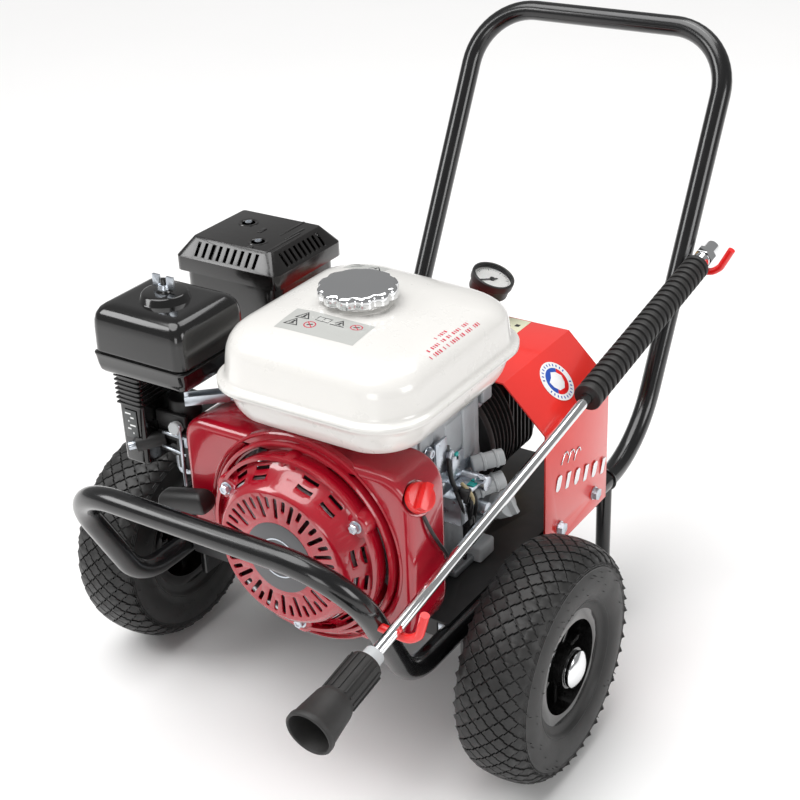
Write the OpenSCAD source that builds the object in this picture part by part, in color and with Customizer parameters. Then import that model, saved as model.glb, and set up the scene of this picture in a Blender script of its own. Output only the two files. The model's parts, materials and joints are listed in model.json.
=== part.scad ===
// Petrol pressure washer on a two-wheel tubular trolley, in millimetres.
// +X is the lance side, +Y the handle end, +Z up. The modules work from the wheel axle
// (Y = 0), and placed() moves the machine so that its origin is the middle of its
// footprint on the ground.

/* [Frame] */
// Outer diameter of the frame tube
tube_d = 25; // [22:1:28]
// Wall of the frame tube
tube_wall = 2; // [1.5:0.5:3]
// Distance between the rails, centre to centre
rail_span = 352; // [340:2:400]
// Height of the rail centres above the ground
rail_z = 166; // [160:1:190]
// Where the rails would meet the handle legs, behind the axle
handle_foot_y = 387; // [380:1:450]
// Slope of the handle legs from the horizontal
handle_angle = 62; // [55:1:70]
// Length of a handle leg up to the top bar
handle_reach = 522; // [480:2:650]
// Bend radius between rail and handle leg
handle_bend_r = 130; // [90:5:150]
// Corner radius of the handle's top bar
handle_corner_r = 78; // [50:1:110]
// Where the rails would meet the front legs, ahead of the axle
front_foot_y = 135; // [120:1:150]
// Slope of the front legs from the horizontal
front_angle = 61.5; // [55:0.5:65]
// Length of a front leg up to the front bar
front_reach = 190; // [170:2:260]
// Bend radius between rail and front leg
front_bend_r = 60; // [45:1:70]
// Corner radius of the front bar
front_corner_r = 75; // [50:1:85]
// Thickness of the deck plate
deck_t = 3; // [2:0.5:4]
// Front edge of the deck plate, ahead of the axle
deck_front = 59; // [50:1:70]
// Rear edge of the deck plate, behind the axle
deck_rear = 296; // [280:1:300]
// Distance of the rear legs behind the axle
stand_y = 300; // [290:1:305]
// Radius of the rubber feet
foot_r = 19; // [17:1:24]

/* [Wheels] */
// Outer diameter of the tyres
wheel_d = 260; // [250:2:264]
// Width of the tyres
tyre_w = 85; // [70:1:95]
// Gap between rail and tyre
wheel_gap = 22.6; // [18:0.2:30]
// Diameter of the rim lip
rim_lip_d = 129; // [110:1:140]
// Diameter of the axle
axle_d = 20; // [16:1:24]

/* [Pump cover] */
// Front edge of the cover, behind the axle
cover_front = 117; // [112:1:125]
// Length of the cover
cover_len = 151; // [140:1:165]
// Height of the flat top above the deck
cover_h = 188.5; // [186:0.5:208]
// Height of the side folds above the deck
fold_h = 137.5; // [118:0.5:143]
// Half width of the flat top
cover_flat = 141.5; // [130:0.5:150]
// Sheet thickness
cover_t = 2; // [1.5:0.5:3]

/* [Engine] */
// Sideways place of the crankshaft
crank_x = 54; // [45:1:60]
// Height of the crankshaft above the deck
crank_h = 106; // [100:1:110]
// Diameter of the crankshaft journals
crank_d = 25; // [22:1:28]
// Front face of the starter housing, ahead of the axle
recoil_front = 171; // [168:1:176]
// Slope of the cylinder from the horizontal
cylinder_angle = 25; // [22:1:28]
// Cylinder bore
bore_d = 68; // [60:1:72]

/* [Fuel tank] */
// Left side of the tank seam
tank_x0 = -39; // [-45:1:-30]
// Width of the tank seam
tank_w = 235; // [220:1:240]
// Front of the tank seam
tank_y0 = -164; // [-170:1:-155]
// Length of the tank seam
tank_len = 258; // [240:1:262]
// Height of the seam above the crankshaft
tank_h = 162.5; // [160:0.5:180]
// Corner radius of the seam
tank_corner = 62; // [40:1:70]
// Tank wall
tank_t = 1.6; // [1.2:0.2:2.4]
// Diameter of the filler cap
cap_d = 80; // [66:1:84]

/* [Lance] */
// Distance of the lance outside the rails
lance_gap = 17.5; // [17.5:0.5:26]
// Pitch of the lance, rising to the rear
lance_pitch = 9.1; // [7:0.1:10]
// Diameter of the lance tube
lance_d = 12; // [10:0.5:14]
// Diameter of the grip's rings
grip_d = 32; // [28:1:33]
// Length of the grip
grip_len = 296; // [240:1:300]
// Number of rings on the grip
grip_rings = 27; // [12:1:32]

/* [Hidden] */
$fn = 48;

run_gap = 0.05;    // radial gap of a running fit
touch_gap = 0.3;   // gap between curved faces of two bodies

// Frame
tube_r = tube_d / 2;
rail_x = rail_span / 2;
rail_top = rail_z + tube_r;
rail_side = rail_x + tube_r;
deck_z = rail_top + deck_t;
deck_lip = 18;
handle_top_y = handle_foot_y + handle_reach * cos(handle_angle);
stand_plug = 8;
foot_h = 24;

// Wheels
wheel_r = wheel_d / 2;
wheel_x = rail_side + wheel_gap + tyre_w / 2;
axle_r = axle_d / 2;
hub_half = tyre_w / 2 - 9;
axle_end = wheel_x + hub_half + touch_gap;
hub_r = axle_r + 12;
lip_r = rim_lip_d / 2;
barrel_r = lip_r - 8;
lip_in = 27;
lip_t = 4;
cap_over = 12;
bracket_boss_r = axle_r + 5;
tyre_wall = 7;

// Pump cover
tab_t = 2.5;
cover_half = rail_side + tab_t + cover_t;
cover_top = deck_z + cover_h;
cover_fold = deck_z + fold_h;
cover_low = rail_z - 1;
cover_rear = cover_front + cover_len;
cover_turn = atan2(cover_top - cover_fold, cover_half - cover_flat);
tab_z = rail_top + 9;
tab_y = [cover_front + 33, cover_rear - 33];
notch_w = 34;

// Fasteners, all M8
bolt_r = 4;
bolt_hole_r = 4.2;
head_af = 13;
head_h = 5.3;
foot_t = 10;       // thickness of the engine's mounting foot

// Engine
crank_z = deck_z + crank_h;
crank_r = crank_d / 2;
base_y = [0, 75.5];
base_x = [crank_x - 100, crank_x + 62];
case_x0 = crank_x - 78;
case_x1 = crank_x + 76;
case_y0 = -60;
case_y1 = 72;
case_top = crank_z + 92;
case_wall = 7;
cover_plate_y1 = 100;
cyl_y = 6;
cyl_start = 62;
cyl_end = 136;
head_end = 166;
barrel_out = bore_d / 2 + 7;
shroud_y0 = -130;
shroud_y1 = -64;
shroud_t = 1.6;
shroud_hole = 99;
drum_r = 97;
disc_r = 72;
switch_at = [crank_x + 122.4, -112.8, crank_z + 73];
switch_tilt = 59;
switch_turn = -20.5;
switch_r = 15;
shroud_top = crank_z + 100;
throttle_at = [-57, -82, shroud_top + 6.5];

// Fuel tank
tank_x1 = tank_x0 + tank_w;
tank_y1 = tank_y0 + tank_len;
neck_x = crank_x + 12;
neck_y = -32;
neck_r = 24;
cap_r = cap_d / 2;
tank_seam = crank_z + tank_h;
tank_top = tank_seam + 60;
// Inset from the seam outline and height above the seam, from the bottom up
tank_steps = [
    [34, -40], [22, -38], [15, -32], [11, -20], [7, -4], [6.2, -3], [0, -3],
    [0, 3], [6.2, 3], [8, 8], [9.5, 26], [14, 42], [22, 51], [34, 56.5],
    [52, 59.2], [74, 60]
];

// Air cleaner and muffler
air_x0 = -181;
air_x1 = -60;
air_y0 = -155;
air_y1 = -49;
air_seam = crank_z + 162.5;
air_top = air_seam + 50;
air_low = air_seam - 24;
filter_r = 36;
stud_x = (air_x0 + air_x1) / 2;
stud_y = (air_y0 + air_y1) / 2;
stud_r = 3;
muffler_x0 = -212;
muffler_x1 = -74;
muffler_y0 = 17;
muffler_y1 = 138;
muffler_low = crank_z + 132.5;
muffler_shoulder = muffler_low + 65;
muffler_top = muffler_low + 85;

// Pump
pump_x = crank_x;
flange_y1 = 166;
flange_r = 82;
pump_y1 = 245;
head_y1 = 283;
pump_half = 56;
shaft_r = 20;
pump_shaft_end = 236;

// Gauge: foot on the pump head, dial leaning towards the lance side
gauge_foot = [crank_x - 20, 258, crank_z + 96];
gauge_lean = 22;
gauge_r = 25;
gauge_len = 42;

// Lance: distances run back along it from the mouth of the nozzle guard
lance_x = rail_side + lance_gap;
lance_y0 = -337;
lance_z0 = rail_z + 87;
guard_len = 92;
holder_len = 14;
tube_start = 74;
grip_start = 530;
fitting_start = grip_start + grip_len;
fitting_len = 46;
fitting_af = 22;
guard_r = 24;
hook_r = 4.5;
hook_bend_r = 9;

machine_front = lance_y0 - guard_r * sin(lance_pitch);
machine_rear = handle_top_y + tube_r;
mid_y = (machine_front + machine_rear) / 2;

// ---- shared shapes ----

function arc_pts(cx, cy, r, a0, a1, n) =
    [for (i = [0:n]) [cx + r * cos(a0 + (a1 - a0) * i / n), cy + r * sin(a0 + (a1 - a0) * i / n)]];

function round_rect(x0, x1, y0, y1, r, n = 6) = concat(
    arc_pts(x1 - r, y1 - r, r, 0, 90, n),
    arc_pts(x0 + r, y1 - r, r, 90, 180, n),
    arc_pts(x0 + r, y0 + r, r, 180, 270, n),
    arc_pts(x1 - r, y0 + r, r, 270, 360, n));

// Closed skin over equal rings of points, from the bottom up
module loft(rings) {
    n = len(rings[0]);
    last = len(rings) - 1;
    polyhedron(
        points = [for (ring = rings) for (p = ring) p],
        faces = concat(
            [[for (i = [0:n - 1]) i]],
            [for (k = [0:last - 1]) for (i = [0:n - 1]) let (j = (i + 1) % n)
                [k * n + i, (k + 1) * n + i, (k + 1) * n + j, k * n + j]],
            [[for (i = [n - 1:-1:0]) last * n + i]]));
}

// Rounded rectangle raised to z, pulled in by inset
function slab_ring(x0, x1, y0, y1, r, inset, z, n = 6) =
    [for (p = round_rect(x0 + inset, x1 - inset, y0 + inset, y1 - inset, max(r - inset, 3), n))
        [p[0], p[1], z]];

// Rounded block between two heights with softened top edges
module soft_block(x0, x1, y0, y1, z0, z1, r, edge) {
    loft(concat(
        [slab_ring(x0, x1, y0, y1, r, 0, z0)],
        [for (a = [0:18:90]) slab_ring(x0, x1, y0, y1, r, edge * (1 - cos(a)), z1 - edge + edge * sin(a))]));
}

module along_y(x, y, z) {
    translate([x, y, z]) rotate([-90, 0, 0]) children();
}

module along_x(x, y, z) {
    translate([x, y, z]) rotate([0, 90, 0]) children();
}

// Round bar from point a to point b
module bar(a, b, r) {
    d = b - a;
    length = norm(d);
    translate(a) rotate([0, acos(d[2] / length), atan2(d[1], d[0])]) cylinder(h = length, r = r);
}

module hex_prism(af, h) {
    cylinder(h = h, r = af / 2 / cos(30), $fn = 6);
}

module both_sides() {
    children();
    mirror([1, 0, 0]) children();
}

module placed() {
    translate([0, -mid_y, 0]) children();
}

// ---- frame ----

function unit(v) = v / norm(v);

// Stations [point, direction] round a bend of radius r at corner b, on the way from a to c
function bend_stations(a, b, c, r, n = 6) = let (
    u = unit(b - a),
    v = unit(c - b),
    turn = acos(u * v),
    w = unit(v - u * (u * v)),
    start = b - u * r * tan(turn / 2))
    [for (i = [0:n]) let (f = turn * i / n)
        [start + u * r * sin(f) + w * r * (1 - cos(f)), u * cos(f) + w * sin(f)]];

// Ring of a swept tube at a station; side is the second axis of its plane
function sweep_ring(station, side, r, n = 16) = let (t = station[1], across = cross(side, t))
    [for (k = [0:n - 1]) station[0] + r * (cos(360 * k / n) * across + sin(360 * k / n) * side)];

// Rings of a hoop that starts on one rail at start_y, climbs from its foot, and comes back
// along the other rail. dir is 1 for the handle and -1 for the front.
function hoop_rings(dir, start_y, foot_y, angle, reach, bend_r, corner_r, r, over) = let (
    rail = [0, dir, 0],
    leg = [0, dir * cos(angle), sin(angle)],
    a = [rail_x, start_y, rail_z] - rail * over,
    b = [rail_x, foot_y, rail_z],
    c = b + leg * reach,
    flip = function (p) [-p[0], p[1], p[2]],
    first = concat([[a, rail]], bend_stations(a, b, c, bend_r)),
    middle = concat(bend_stations(b, c, flip(c), corner_r), bend_stations(c, flip(c), flip(b), corner_r)),
    back = concat(bend_stations(flip(c), flip(b), flip(a), bend_r), [[flip(a), -rail]]))
    concat(
        [for (s = first) sweep_ring(s, cross(s[1], [1, 0, 0]), r)],
        [for (s = middle) sweep_ring(s, cross(leg, [1, 0, 0]), r)],
        [for (s = back) sweep_ring(s, cross(s[1], [-1, 0, 0]), r)]);

module tube_hoop(dir, start_y, foot_y, angle, reach, bend_r, corner_r) {
    difference() {
        loft(hoop_rings(dir, start_y, foot_y, angle, reach, bend_r, corner_r, tube_r, 0));
        loft(hoop_rings(dir, start_y, foot_y, angle, reach, bend_r, corner_r, tube_r - tube_wall, 1));
    }
}

rail_end = handle_foot_y - handle_bend_r * tan(handle_angle / 2) - 6;

module handle_hoop() {
    color("#17181a") tube_hoop(1, rail_end, handle_foot_y, handle_angle, handle_reach,
        handle_bend_r, handle_corner_r);
}

module cover_tab(y) {
    difference() {
        translate([rail_side - 0.4, y - 13, rail_z])
            cube([tab_t + 0.4, 26, tab_z + 12 - rail_z]);
        along_x(rail_side - 1, y, tab_z) cylinder(h = tab_t + 2, r = bolt_hole_r);
        along_x(rail_side - 1, y, tab_z) cylinder(h = 1, r = 8);
    }
}

module axle_bracket() {
    difference() {
        union() {
            translate([rail_x - 4, -32, wheel_r - 20]) cube([8, 64, rail_z - wheel_r + 14]);
            along_x(rail_x - 4, 0, wheel_r) cylinder(h = tube_r + 4 + wheel_gap + 8, r = bracket_boss_r);
        }
        along_x(rail_x - 8, 0, wheel_r) cylinder(h = 90, r = axle_r);
        along_y(rail_x, -40, rail_z) cylinder(h = 80, r = tube_r - tube_wall / 2);
    }
}

module base_frame() {
    color("#17181a") {
        tube_hoop(-1, rail_end, -front_foot_y, front_angle, front_reach, front_bend_r, front_corner_r);
        both_sides() {
            for (y = tab_y) cover_tab(y);
            axle_bracket();
        }
    }
}

module rear_stand() {
    leg_r = 9;
    color("#17181a") {
        difference() {
            union() {
                along_x(-rail_x, stand_y, rail_z - tube_r - 2 * leg_r) cylinder(h = rail_span, r = leg_r);
                both_sides() translate([rail_x, stand_y, foot_h - stand_plug])
                    cylinder(h = rail_z - foot_h + stand_plug, r = leg_r);
            }
            both_sides() along_y(rail_x, stand_y - 40, rail_z) cylinder(h = 80, r = tube_r);
        }
    }
}

module rubber_feet() {
    color("#202022") both_sides() translate([rail_x, stand_y, 0]) difference() {
        union() {
            cylinder(h = 6, r = foot_r);
            translate([0, 0, 6]) cylinder(h = foot_h - 6, r1 = foot_r, r2 = foot_r - 4);
        }
        translate([0, 0, foot_h - stand_plug]) cylinder(h = stand_plug + 1, r = 9);
    }
}

module base_plate() {
    color("#1c1d1f") difference() {
        union() {
            translate([-rail_x, -deck_front, rail_top]) cube([rail_span, deck_front + deck_rear, deck_t]);
            translate([-rail_x + tube_r + 2, -deck_front, rail_top - deck_lip])
                cube([rail_span - tube_d - 4, deck_t, deck_lip + deck_t]);
        }
        for (x = base_x) for (y = base_y)
            translate([x, y, rail_top - 1]) cylinder(h = deck_t + 2, r = bolt_hole_r);
    }
}

module axle() {
    color("#b9bcc0") along_x(-axle_end, 0, wheel_r) cylinder(h = 2 * axle_end, r = axle_r);
}

module axle_caps() {
    dome_r = 34;
    color("#e4e6e8") both_sides() along_x(axle_end, 0, wheel_r) intersection() {
        cylinder(h = cap_over, r = 20);
        translate([0, 0, cap_over - dome_r]) sphere(dome_r, $fn = 64);
    }
}

// ---- wheels ----

function super(c, p) = sign(c) * pow(abs(c), p);

function tyre_section(dr, w, n = 40) =
    [for (i = [0:n - 1]) let (a = 360 * i / n)
        [(wheel_r + barrel_r) / 2 + dr * super(cos(a), 0.8), w * super(sin(a), 0.8)]];

module tyre() {
    height = (wheel_r - barrel_r) / 2;
    rotate_extrude($fn = 96) difference() {
        polygon(tyre_section(height, tyre_w / 2));
        polygon(tyre_section(height - tyre_wall, tyre_w / 2 - tyre_wall));
        translate([0, -lip_in + 6]) square([height + barrel_r, 2 * lip_in - 12]);
        translate([0, lip_in]) square([lip_r, tyre_w]);
        translate([0, -lip_in - tyre_w]) square([lip_r, tyre_w]);
    }
}

module rim() {
    ribs = 8;
    difference() {
        union() {
            rotate_extrude($fn = 96) {
                translate([barrel_r - 5, -lip_in - lip_t]) square([5, 2 * (lip_in + lip_t)]);
                translate([barrel_r - 5, lip_in]) square([lip_r - barrel_r + 5, lip_t]);
                translate([barrel_r - 5, -lip_in - lip_t]) square([lip_r - barrel_r + 5, lip_t]);
                translate([hub_r - 2, -3]) square([barrel_r - hub_r, 6]);
            }
            translate([0, 0, -hub_half]) cylinder(h = 2 * hub_half, r = hub_r);
            for (i = [0:ribs - 1]) rotate([0, 0, 360 * i / ribs])
                translate([hub_r - 3, -2.5, -15]) cube([barrel_r - hub_r, 5, 30]);
        }
        translate([0, 0, -hub_half - 1]) cylinder(h = 2 * hub_half + 2, r = axle_r + run_gap);
    }
}

module wheel_at(side) {
    translate([side * wheel_x, 0, wheel_r]) rotate([0, 90 * side, 0]) children();
}

module tyre_left() { color("#222324") wheel_at(-1) tyre(); }

module tyre_right() { color("#222324") wheel_at(1) tyre(); }

module rim_left() { color("#101113") wheel_at(-1) rim(); }

module rim_right() { color("#101113") wheel_at(1) rim(); }

// ---- pump cover ----

module pump_cover() {
    slip = cover_t * tan(cover_turn / 2);
    slip_low = cover_t * tan((90 - cover_turn) / 2);
    outer = [[cover_half, cover_low], [cover_half, cover_fold], [cover_flat, cover_top]];
    inner = [[cover_half - cover_t, cover_low], [cover_half - cover_t, cover_fold - slip_low],
        [cover_flat - slip, cover_top - cover_t]];
    profile = concat(outer, [for (i = [2:-1:0]) [-outer[i][0], outer[i][1]]],
        [for (p = inner) [-p[0], p[1]]], [for (i = [2:-1:0]) inner[i]]);
    color("#e4322b") difference() {
        translate([0, cover_rear, 0]) rotate([90, 0, 0]) linear_extrude(cover_len) polygon(profile);
        translate([gauge_foot[0] - notch_w / 2, gauge_foot[1] - notch_w / 2, cover_top - 10])
            cube([notch_w, cover_len, 20]);
        both_sides() for (y = tab_y)
            along_x(cover_half - cover_t - 1, y, tab_z) cylinder(h = cover_t + 2, r = bolt_hole_r);
    }
}

// Bolt from the outside: head, washer, shank and nut on +Z
module hex_bolt(grip) {
    translate([0, 0, 1.6]) hex_prism(head_af, head_h);
    cylinder(h = 1.6, r = 8);
    translate([0, 0, -grip - 9]) cylinder(h = grip + 10, r = bolt_r);
    translate([0, 0, -grip - 6.5]) hex_prism(head_af, 6.5);
}

module hex_bolts() {
    color("#cfd2d6") {
        both_sides() for (y = tab_y) along_x(cover_half, y, tab_z) hex_bolt(cover_t + tab_t);
        for (x = base_x) for (y = base_y) translate([x, y, deck_z + foot_t]) hex_bolt(foot_t + deck_t);
    }
}

// ---- lance and its hooks ----

module on_lance(s) {
    translate([lance_x, lance_y0, lance_z0]) rotate([lance_pitch - 90, 0, 0]) translate([0, 0, s]) children();
}

function lance_z(y) = lance_z0 + (y - lance_y0) * tan(lance_pitch);

// Bent round bar from the rail out under the lance and up beside it, with a domed tip
module hook(y, seat, reach) {
    z = lance_z(y) - (seat + hook_r) / cos(lance_pitch) - touch_gap;
    a = [rail_x + 4, y, z];
    b = [lance_x + 12, y, z];
    c = [lance_x + 22, y, z + 8];
    d = [lance_x + reach, y, z + 36];
    way = unit(d - c);
    loft(concat(
        [sweep_ring([a, unit(b - a)], [0, 1, 0], hook_r, 12)],
        [for (s = bend_stations(a, b, c, hook_bend_r)) sweep_ring(s, [0, 1, 0], hook_r, 12)],
        [for (s = bend_stations(b, c, d, hook_bend_r)) sweep_ring(s, [0, 1, 0], hook_r, 12)],
        [for (t = [0:25:75]) sweep_ring([d + way * hook_r * sin(t), way], [0, 1, 0], hook_r * cos(t), 12)]));
}

front_hook_y = -front_foot_y - 59;
rear_hook_y = handle_foot_y + 108;

module lance_hooks() {
    color("#e02a22") difference() {
        union() {
            hook(front_hook_y, lance_d / 2, 30);
            hook(rear_hook_y, fitting_af / 2, 36);
        }
        translate([rail_x, handle_foot_y, rail_z]) rotate([handle_angle - 90, 0, 0])
            cylinder(h = handle_reach, r = tube_r);
        translate([rail_x, -front_foot_y, rail_z]) rotate([90 - front_angle, 0, 0])
            cylinder(h = front_reach, r = tube_r);
    }
}

module lance_tube() {
    color("#c9ccd1") on_lance(tube_start) difference() {
        cylinder(h = fitting_start + 8 - tube_start, r = lance_d / 2);
        translate([0, 0, -1]) cylinder(h = fitting_start + 10 - tube_start, r = lance_d / 2 - 1.5);
    }
}

module lance_grip() {
    pitch = grip_len / grip_rings;
    ring_r = grip_d / 2;
    core_r = ring_r - 3.5;
    color("#1b1a1a") on_lance(grip_start) rotate_extrude() {
        translate([lance_d / 2, 0]) square([core_r - lance_d / 2, grip_len]);
        for (i = [0:grip_rings - 1]) translate([core_r - 1, pitch * (i + 0.2)])
            square([ring_r - core_r + 1, pitch * 0.55]);
        translate([lance_d / 2, 0]) square([ring_r - lance_d / 2, 5]);
    }
}

module lance_fitting() {
    color("#c4c7cc") on_lance(fitting_start) difference() {
        union() {
            cylinder(h = 14, r = 10);
            translate([0, 0, 14]) hex_prism(fitting_af, 14);
            translate([0, 0, 28]) cylinder(h = fitting_len - 28, r = 9);
        }
        translate([0, 0, -1]) cylinder(h = 9, r = lance_d / 2);
        translate([0, 0, -1]) cylinder(h = fitting_len + 2, r = 4);
    }
}

module nozzle_holder() {
    color("#b9bbb8") difference() {
        union() {
            on_lance(48) cylinder(h = 26, r = 8);
            on_lance(tube_start) cylinder(h = guard_len - tube_start, r = 10);
            on_lance(guard_len) cylinder(h = holder_len, r = 10);
        }
        on_lance(tube_start) cylinder(h = 60, r = lance_d / 2);
        on_lance(40) cylinder(h = 60, r = 1.5);
    }
}

module nozzle_guard() {
    color("#232325") on_lance(0) rotate_extrude() polygon([
        [guard_r - 3.5, 0], [guard_r, 0], [guard_r, 6], [19, 40], [16.5, 44], [16.5, guard_len], [10, guard_len],
        [10, tube_start], [8, tube_start], [8, 52], [15, 44], [17, 38]]);
}

// ---- engine ----

// Local +Z runs up the cylinder from the crankshaft
module on_cylinder(d) {
    translate([crank_x, cyl_y, crank_z]) rotate([0, cylinder_angle - 90, 0]) translate([0, 0, d]) children();
}

module crank_bore(r) {
    along_y(crank_x, -200, crank_z) cylinder(h = 500, r = r);
}

// Room for the bolt heads beside the crankcase
module bolt_pockets() {
    for (y = base_y) translate([base_x[1] - 11, y - 11, deck_z + foot_t])
        cube([case_x1 - base_x[1] + 12, 22, 14]);
}

module crankcase() {
    color("#b4b7ba") difference() {
        union() {
            translate([case_x0, case_y0, deck_z + foot_t])
                cube([case_x1 - case_x0, case_y1 - case_y0, case_top - deck_z - foot_t]);
            translate([base_x[0] - 14, base_y[0] - 16, deck_z])
                cube([base_x[1] - base_x[0] + 28, base_y[1] - base_y[0] + 30, foot_t]);
            along_y(crank_x, case_y0 - 8, crank_z) cylinder(h = 10, r = 34);
            on_cylinder(cyl_start) cylinder(h = cyl_end - cyl_start, r = barrel_out);
            for (i = [0:5]) on_cylinder(cyl_start + 24 + 8.4 * i)
                translate([-52, -50, 0]) cube([104, 100, 2.6]);
            for (x = [case_x0 + 30, case_x1 - 14]) for (y = [case_y0 + 20, case_y1 - 22])
                translate([x, y, case_top - 1]) cylinder(h = tank_seam + tank_steps[0][1] - case_top + 1, r = 7);
        }
        bolt_pockets();
        translate([case_x0 + case_wall, case_y0 + case_wall, deck_z + foot_t - 4])
            cube([base_x[1] - 18 - case_x0 - case_wall, case_y1 - case_y0 - case_wall + 1, 40]);
        translate([case_x0 + case_wall, case_y0 + case_wall, deck_z + foot_t + 24])
            cube([case_x1 - case_x0 - 2 * case_wall, case_y1 - case_y0 - case_wall + 1,
                case_top - deck_z - foot_t - case_wall - 24]);
        on_cylinder(20) cylinder(h = cyl_end, r = bore_d / 2);
        crank_bore(crank_r + run_gap);
        for (x = base_x) for (y = base_y)
            translate([x, y, deck_z - 1]) cylinder(h = 14, r = bolt_r);
    }
}

module oil_neck_frame() {
    translate([case_x1 - 6, 88, deck_z + 40]) rotate([0, 60, 0]) children();
}

module crankcase_cover() {
    color("#a9acb0") difference() {
        union() {
            translate([case_x0, case_y1, deck_z + 12]) cube([case_x1 - case_x0, 12, case_top - deck_z - 12]);
            along_y(crank_x, case_y1, crank_z) cylinder(h = cover_plate_y1 - case_y1, r = 68);
            difference() {
                oil_neck_frame() cylinder(h = 30, r = 14);
                translate([case_x0, 0, deck_z]) cube([case_x1 - case_x0, case_y1, 200]);
            }
        }
        crank_bore(crank_r + run_gap);
        bolt_pockets();
        oil_neck_frame() translate([0, 0, 8]) cylinder(h = 40, r = 9 + run_gap);
    }
}

module oil_plug() {
    color("#c9ccd0") oil_neck_frame() {
        translate([0, 0, 12]) cylinder(h = 18 + touch_gap, r = 9);
        translate([0, 0, 30 + touch_gap]) cylinder(h = 14, r = 15);
        translate([-14, -3, 44]) cube([28, 6, 8]);
    }
}

module cylinder_head() {
    color("#b0b3b6") difference() {
        union() {
            on_cylinder(cyl_end) translate([-46, -46, 0]) cube([92, 92, 10]);
            for (i = [0:2]) on_cylinder(cyl_end + 10 + 7 * i) translate([-52, -50, 3]) cube([104, 100, 2.4]);
            on_cylinder(cyl_end) cylinder(h = head_end - cyl_end, r = 34);
        }
        on_cylinder(cyl_end - 1) cylinder(h = 13, r = bore_d / 2 - 4);
        on_cylinder(cyl_end + 10) translate([-11, -60, 0.4]) cube([22, 60 - plug_seat, head_end - cyl_end]);
        on_cylinder(cyl_end + plug_lift) rotate([90, 0, 0]) cylinder(h = 60, r = 6);
    }
}

module rocker_cover() {
    color("#26282a") on_cylinder(head_end) difference() {
        loft(concat(
            [slab_ring(-44, 44, -40, 40, 12, 0, 0)],
            [slab_ring(-44, 44, -40, 40, 12, 0, 6)],
            [slab_ring(-44, 44, -40, 40, 12, 5, 7)],
            [for (a = [0:30:90]) slab_ring(-44, 44, -40, 40, 12, 5 + 8 * (1 - cos(a)), 24 + 8 * sin(a))]));
        translate([-34, -30, -1]) cube([68, 60, 25]);
    }
}

plug_seat = 33;
plug_lift = 20;

module spark_plug() {
    color("#e8e8e4") on_cylinder(cyl_end + plug_lift) rotate([90, 0, 0]) {
        translate([0, 0, plug_seat - 15]) cylinder(h = 16, r = 6);
        translate([0, 0, plug_seat]) hex_prism(16, 9);
        translate([0, 0, plug_seat + 8]) cylinder(h = 20, r = 4.5);
    }
}

module plug_cap() {
    color("#1a1a1b") on_cylinder(cyl_end + plug_lift) rotate([90, 0, 0]) difference() {
        translate([0, 0, plug_seat + 17]) cylinder(h = 18, r = 9);
        translate([0, 0, plug_seat + 16]) cylinder(h = 12, r = 4.5);
    }
}

// Front view of the blower case, pulled in by inset
function shroud_outline(inset) = concat(
    arc_pts(crank_x, crank_z, 104 - inset, 190, 262, 8),
    arc_pts(crank_x + 74, deck_z + 56, 54 - inset, 280, 360, 6),
    arc_pts(crank_x + 94, crank_z + 66, 34 - inset, 0, 90, 6),
    arc_pts(-67, crank_z + 74, 26 - inset, 90, 180, 6),
    arc_pts(-75, crank_z - 16, 18 - inset, 180, 262, 4));

module front_prism(y0, y1, pts) {
    translate([0, y1, 0]) rotate([90, 0, 0]) linear_extrude(y1 - y0) polygon(pts);
}

module switch_frame() {
    translate(switch_at) rotate([0, switch_tilt, switch_turn]) children();
}

module fan_shroud() {
    color("#b51226") difference() {
        union() {
            difference() {
                front_prism(shroud_y0, shroud_y1, shroud_outline(0));
                front_prism(shroud_y0 + shroud_t, shroud_y1 + 1, shroud_outline(shroud_t));
                along_y(crank_x, shroud_y0 - 1, crank_z) cylinder(h = 10, r = shroud_hole);
            }
            translate([throttle_at[0], throttle_at[1], shroud_top - shroud_t])
                cylinder(h = throttle_at[2] + 5 - shroud_top + shroud_t, r = 4);
            switch_frame() translate([0, 0, -9]) cylinder(h = 12, r = switch_r + 3);
        }
        switch_frame() translate([0, 0, -30]) cylinder(h = 60, r = 12);
        switch_frame() translate([0, 0, 3]) cylinder(h = 30, r = switch_r + 2.5);
    }
}

// Half section of the starter housing: radius, distance behind its front face
function recoil_section(inset) = [
    [0, inset], [disc_r - 1, inset], [disc_r + 3 - inset, 3], [drum_r - 12 - inset, 22],
    [drum_r - 5 - inset, 28], [drum_r - inset, 30]];

module slot(r0, r1, angle, w) {
    rotate([0, 0, angle]) {
        translate([r0 + w / 2, -w / 2, -1]) cube([r1 - r0 - w, w, 8]);
        for (r = [r0 + w / 2, r1 - w / 2]) translate([r, 0, -1]) cylinder(h = 8, r = w / 2, $fn = 16);
    }
}

module recoil_housing() {
    skin = 2;
    slots = 40;
    depth = recoil_front + shroud_y0;
    color("#b51226") along_y(crank_x, -recoil_front, crank_z) difference() {
        rotate_extrude($fn = 96) difference() {
            polygon(concat(recoil_section(0), [[drum_r, depth], [0, depth]]));
            polygon(concat(recoil_section(skin), [[drum_r - skin, depth + 1], [0, depth + 1]]));
        }
        for (i = [0:slots - 1])
            slot(i % 2 == 0 ? 44 : 54, 67, 360 * i / slots, 4.4);
        for (k = [0:5]) for (side = [-1, 1]) for (row = [0:2])
            rotate([0, 0, 60 * k - 1 + 10.5 * side])
                translate([disc_r + 6.5 + 6.2 * row, -9, -1]) cube([3.2, 18, depth - 4]);
    }
}

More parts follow.
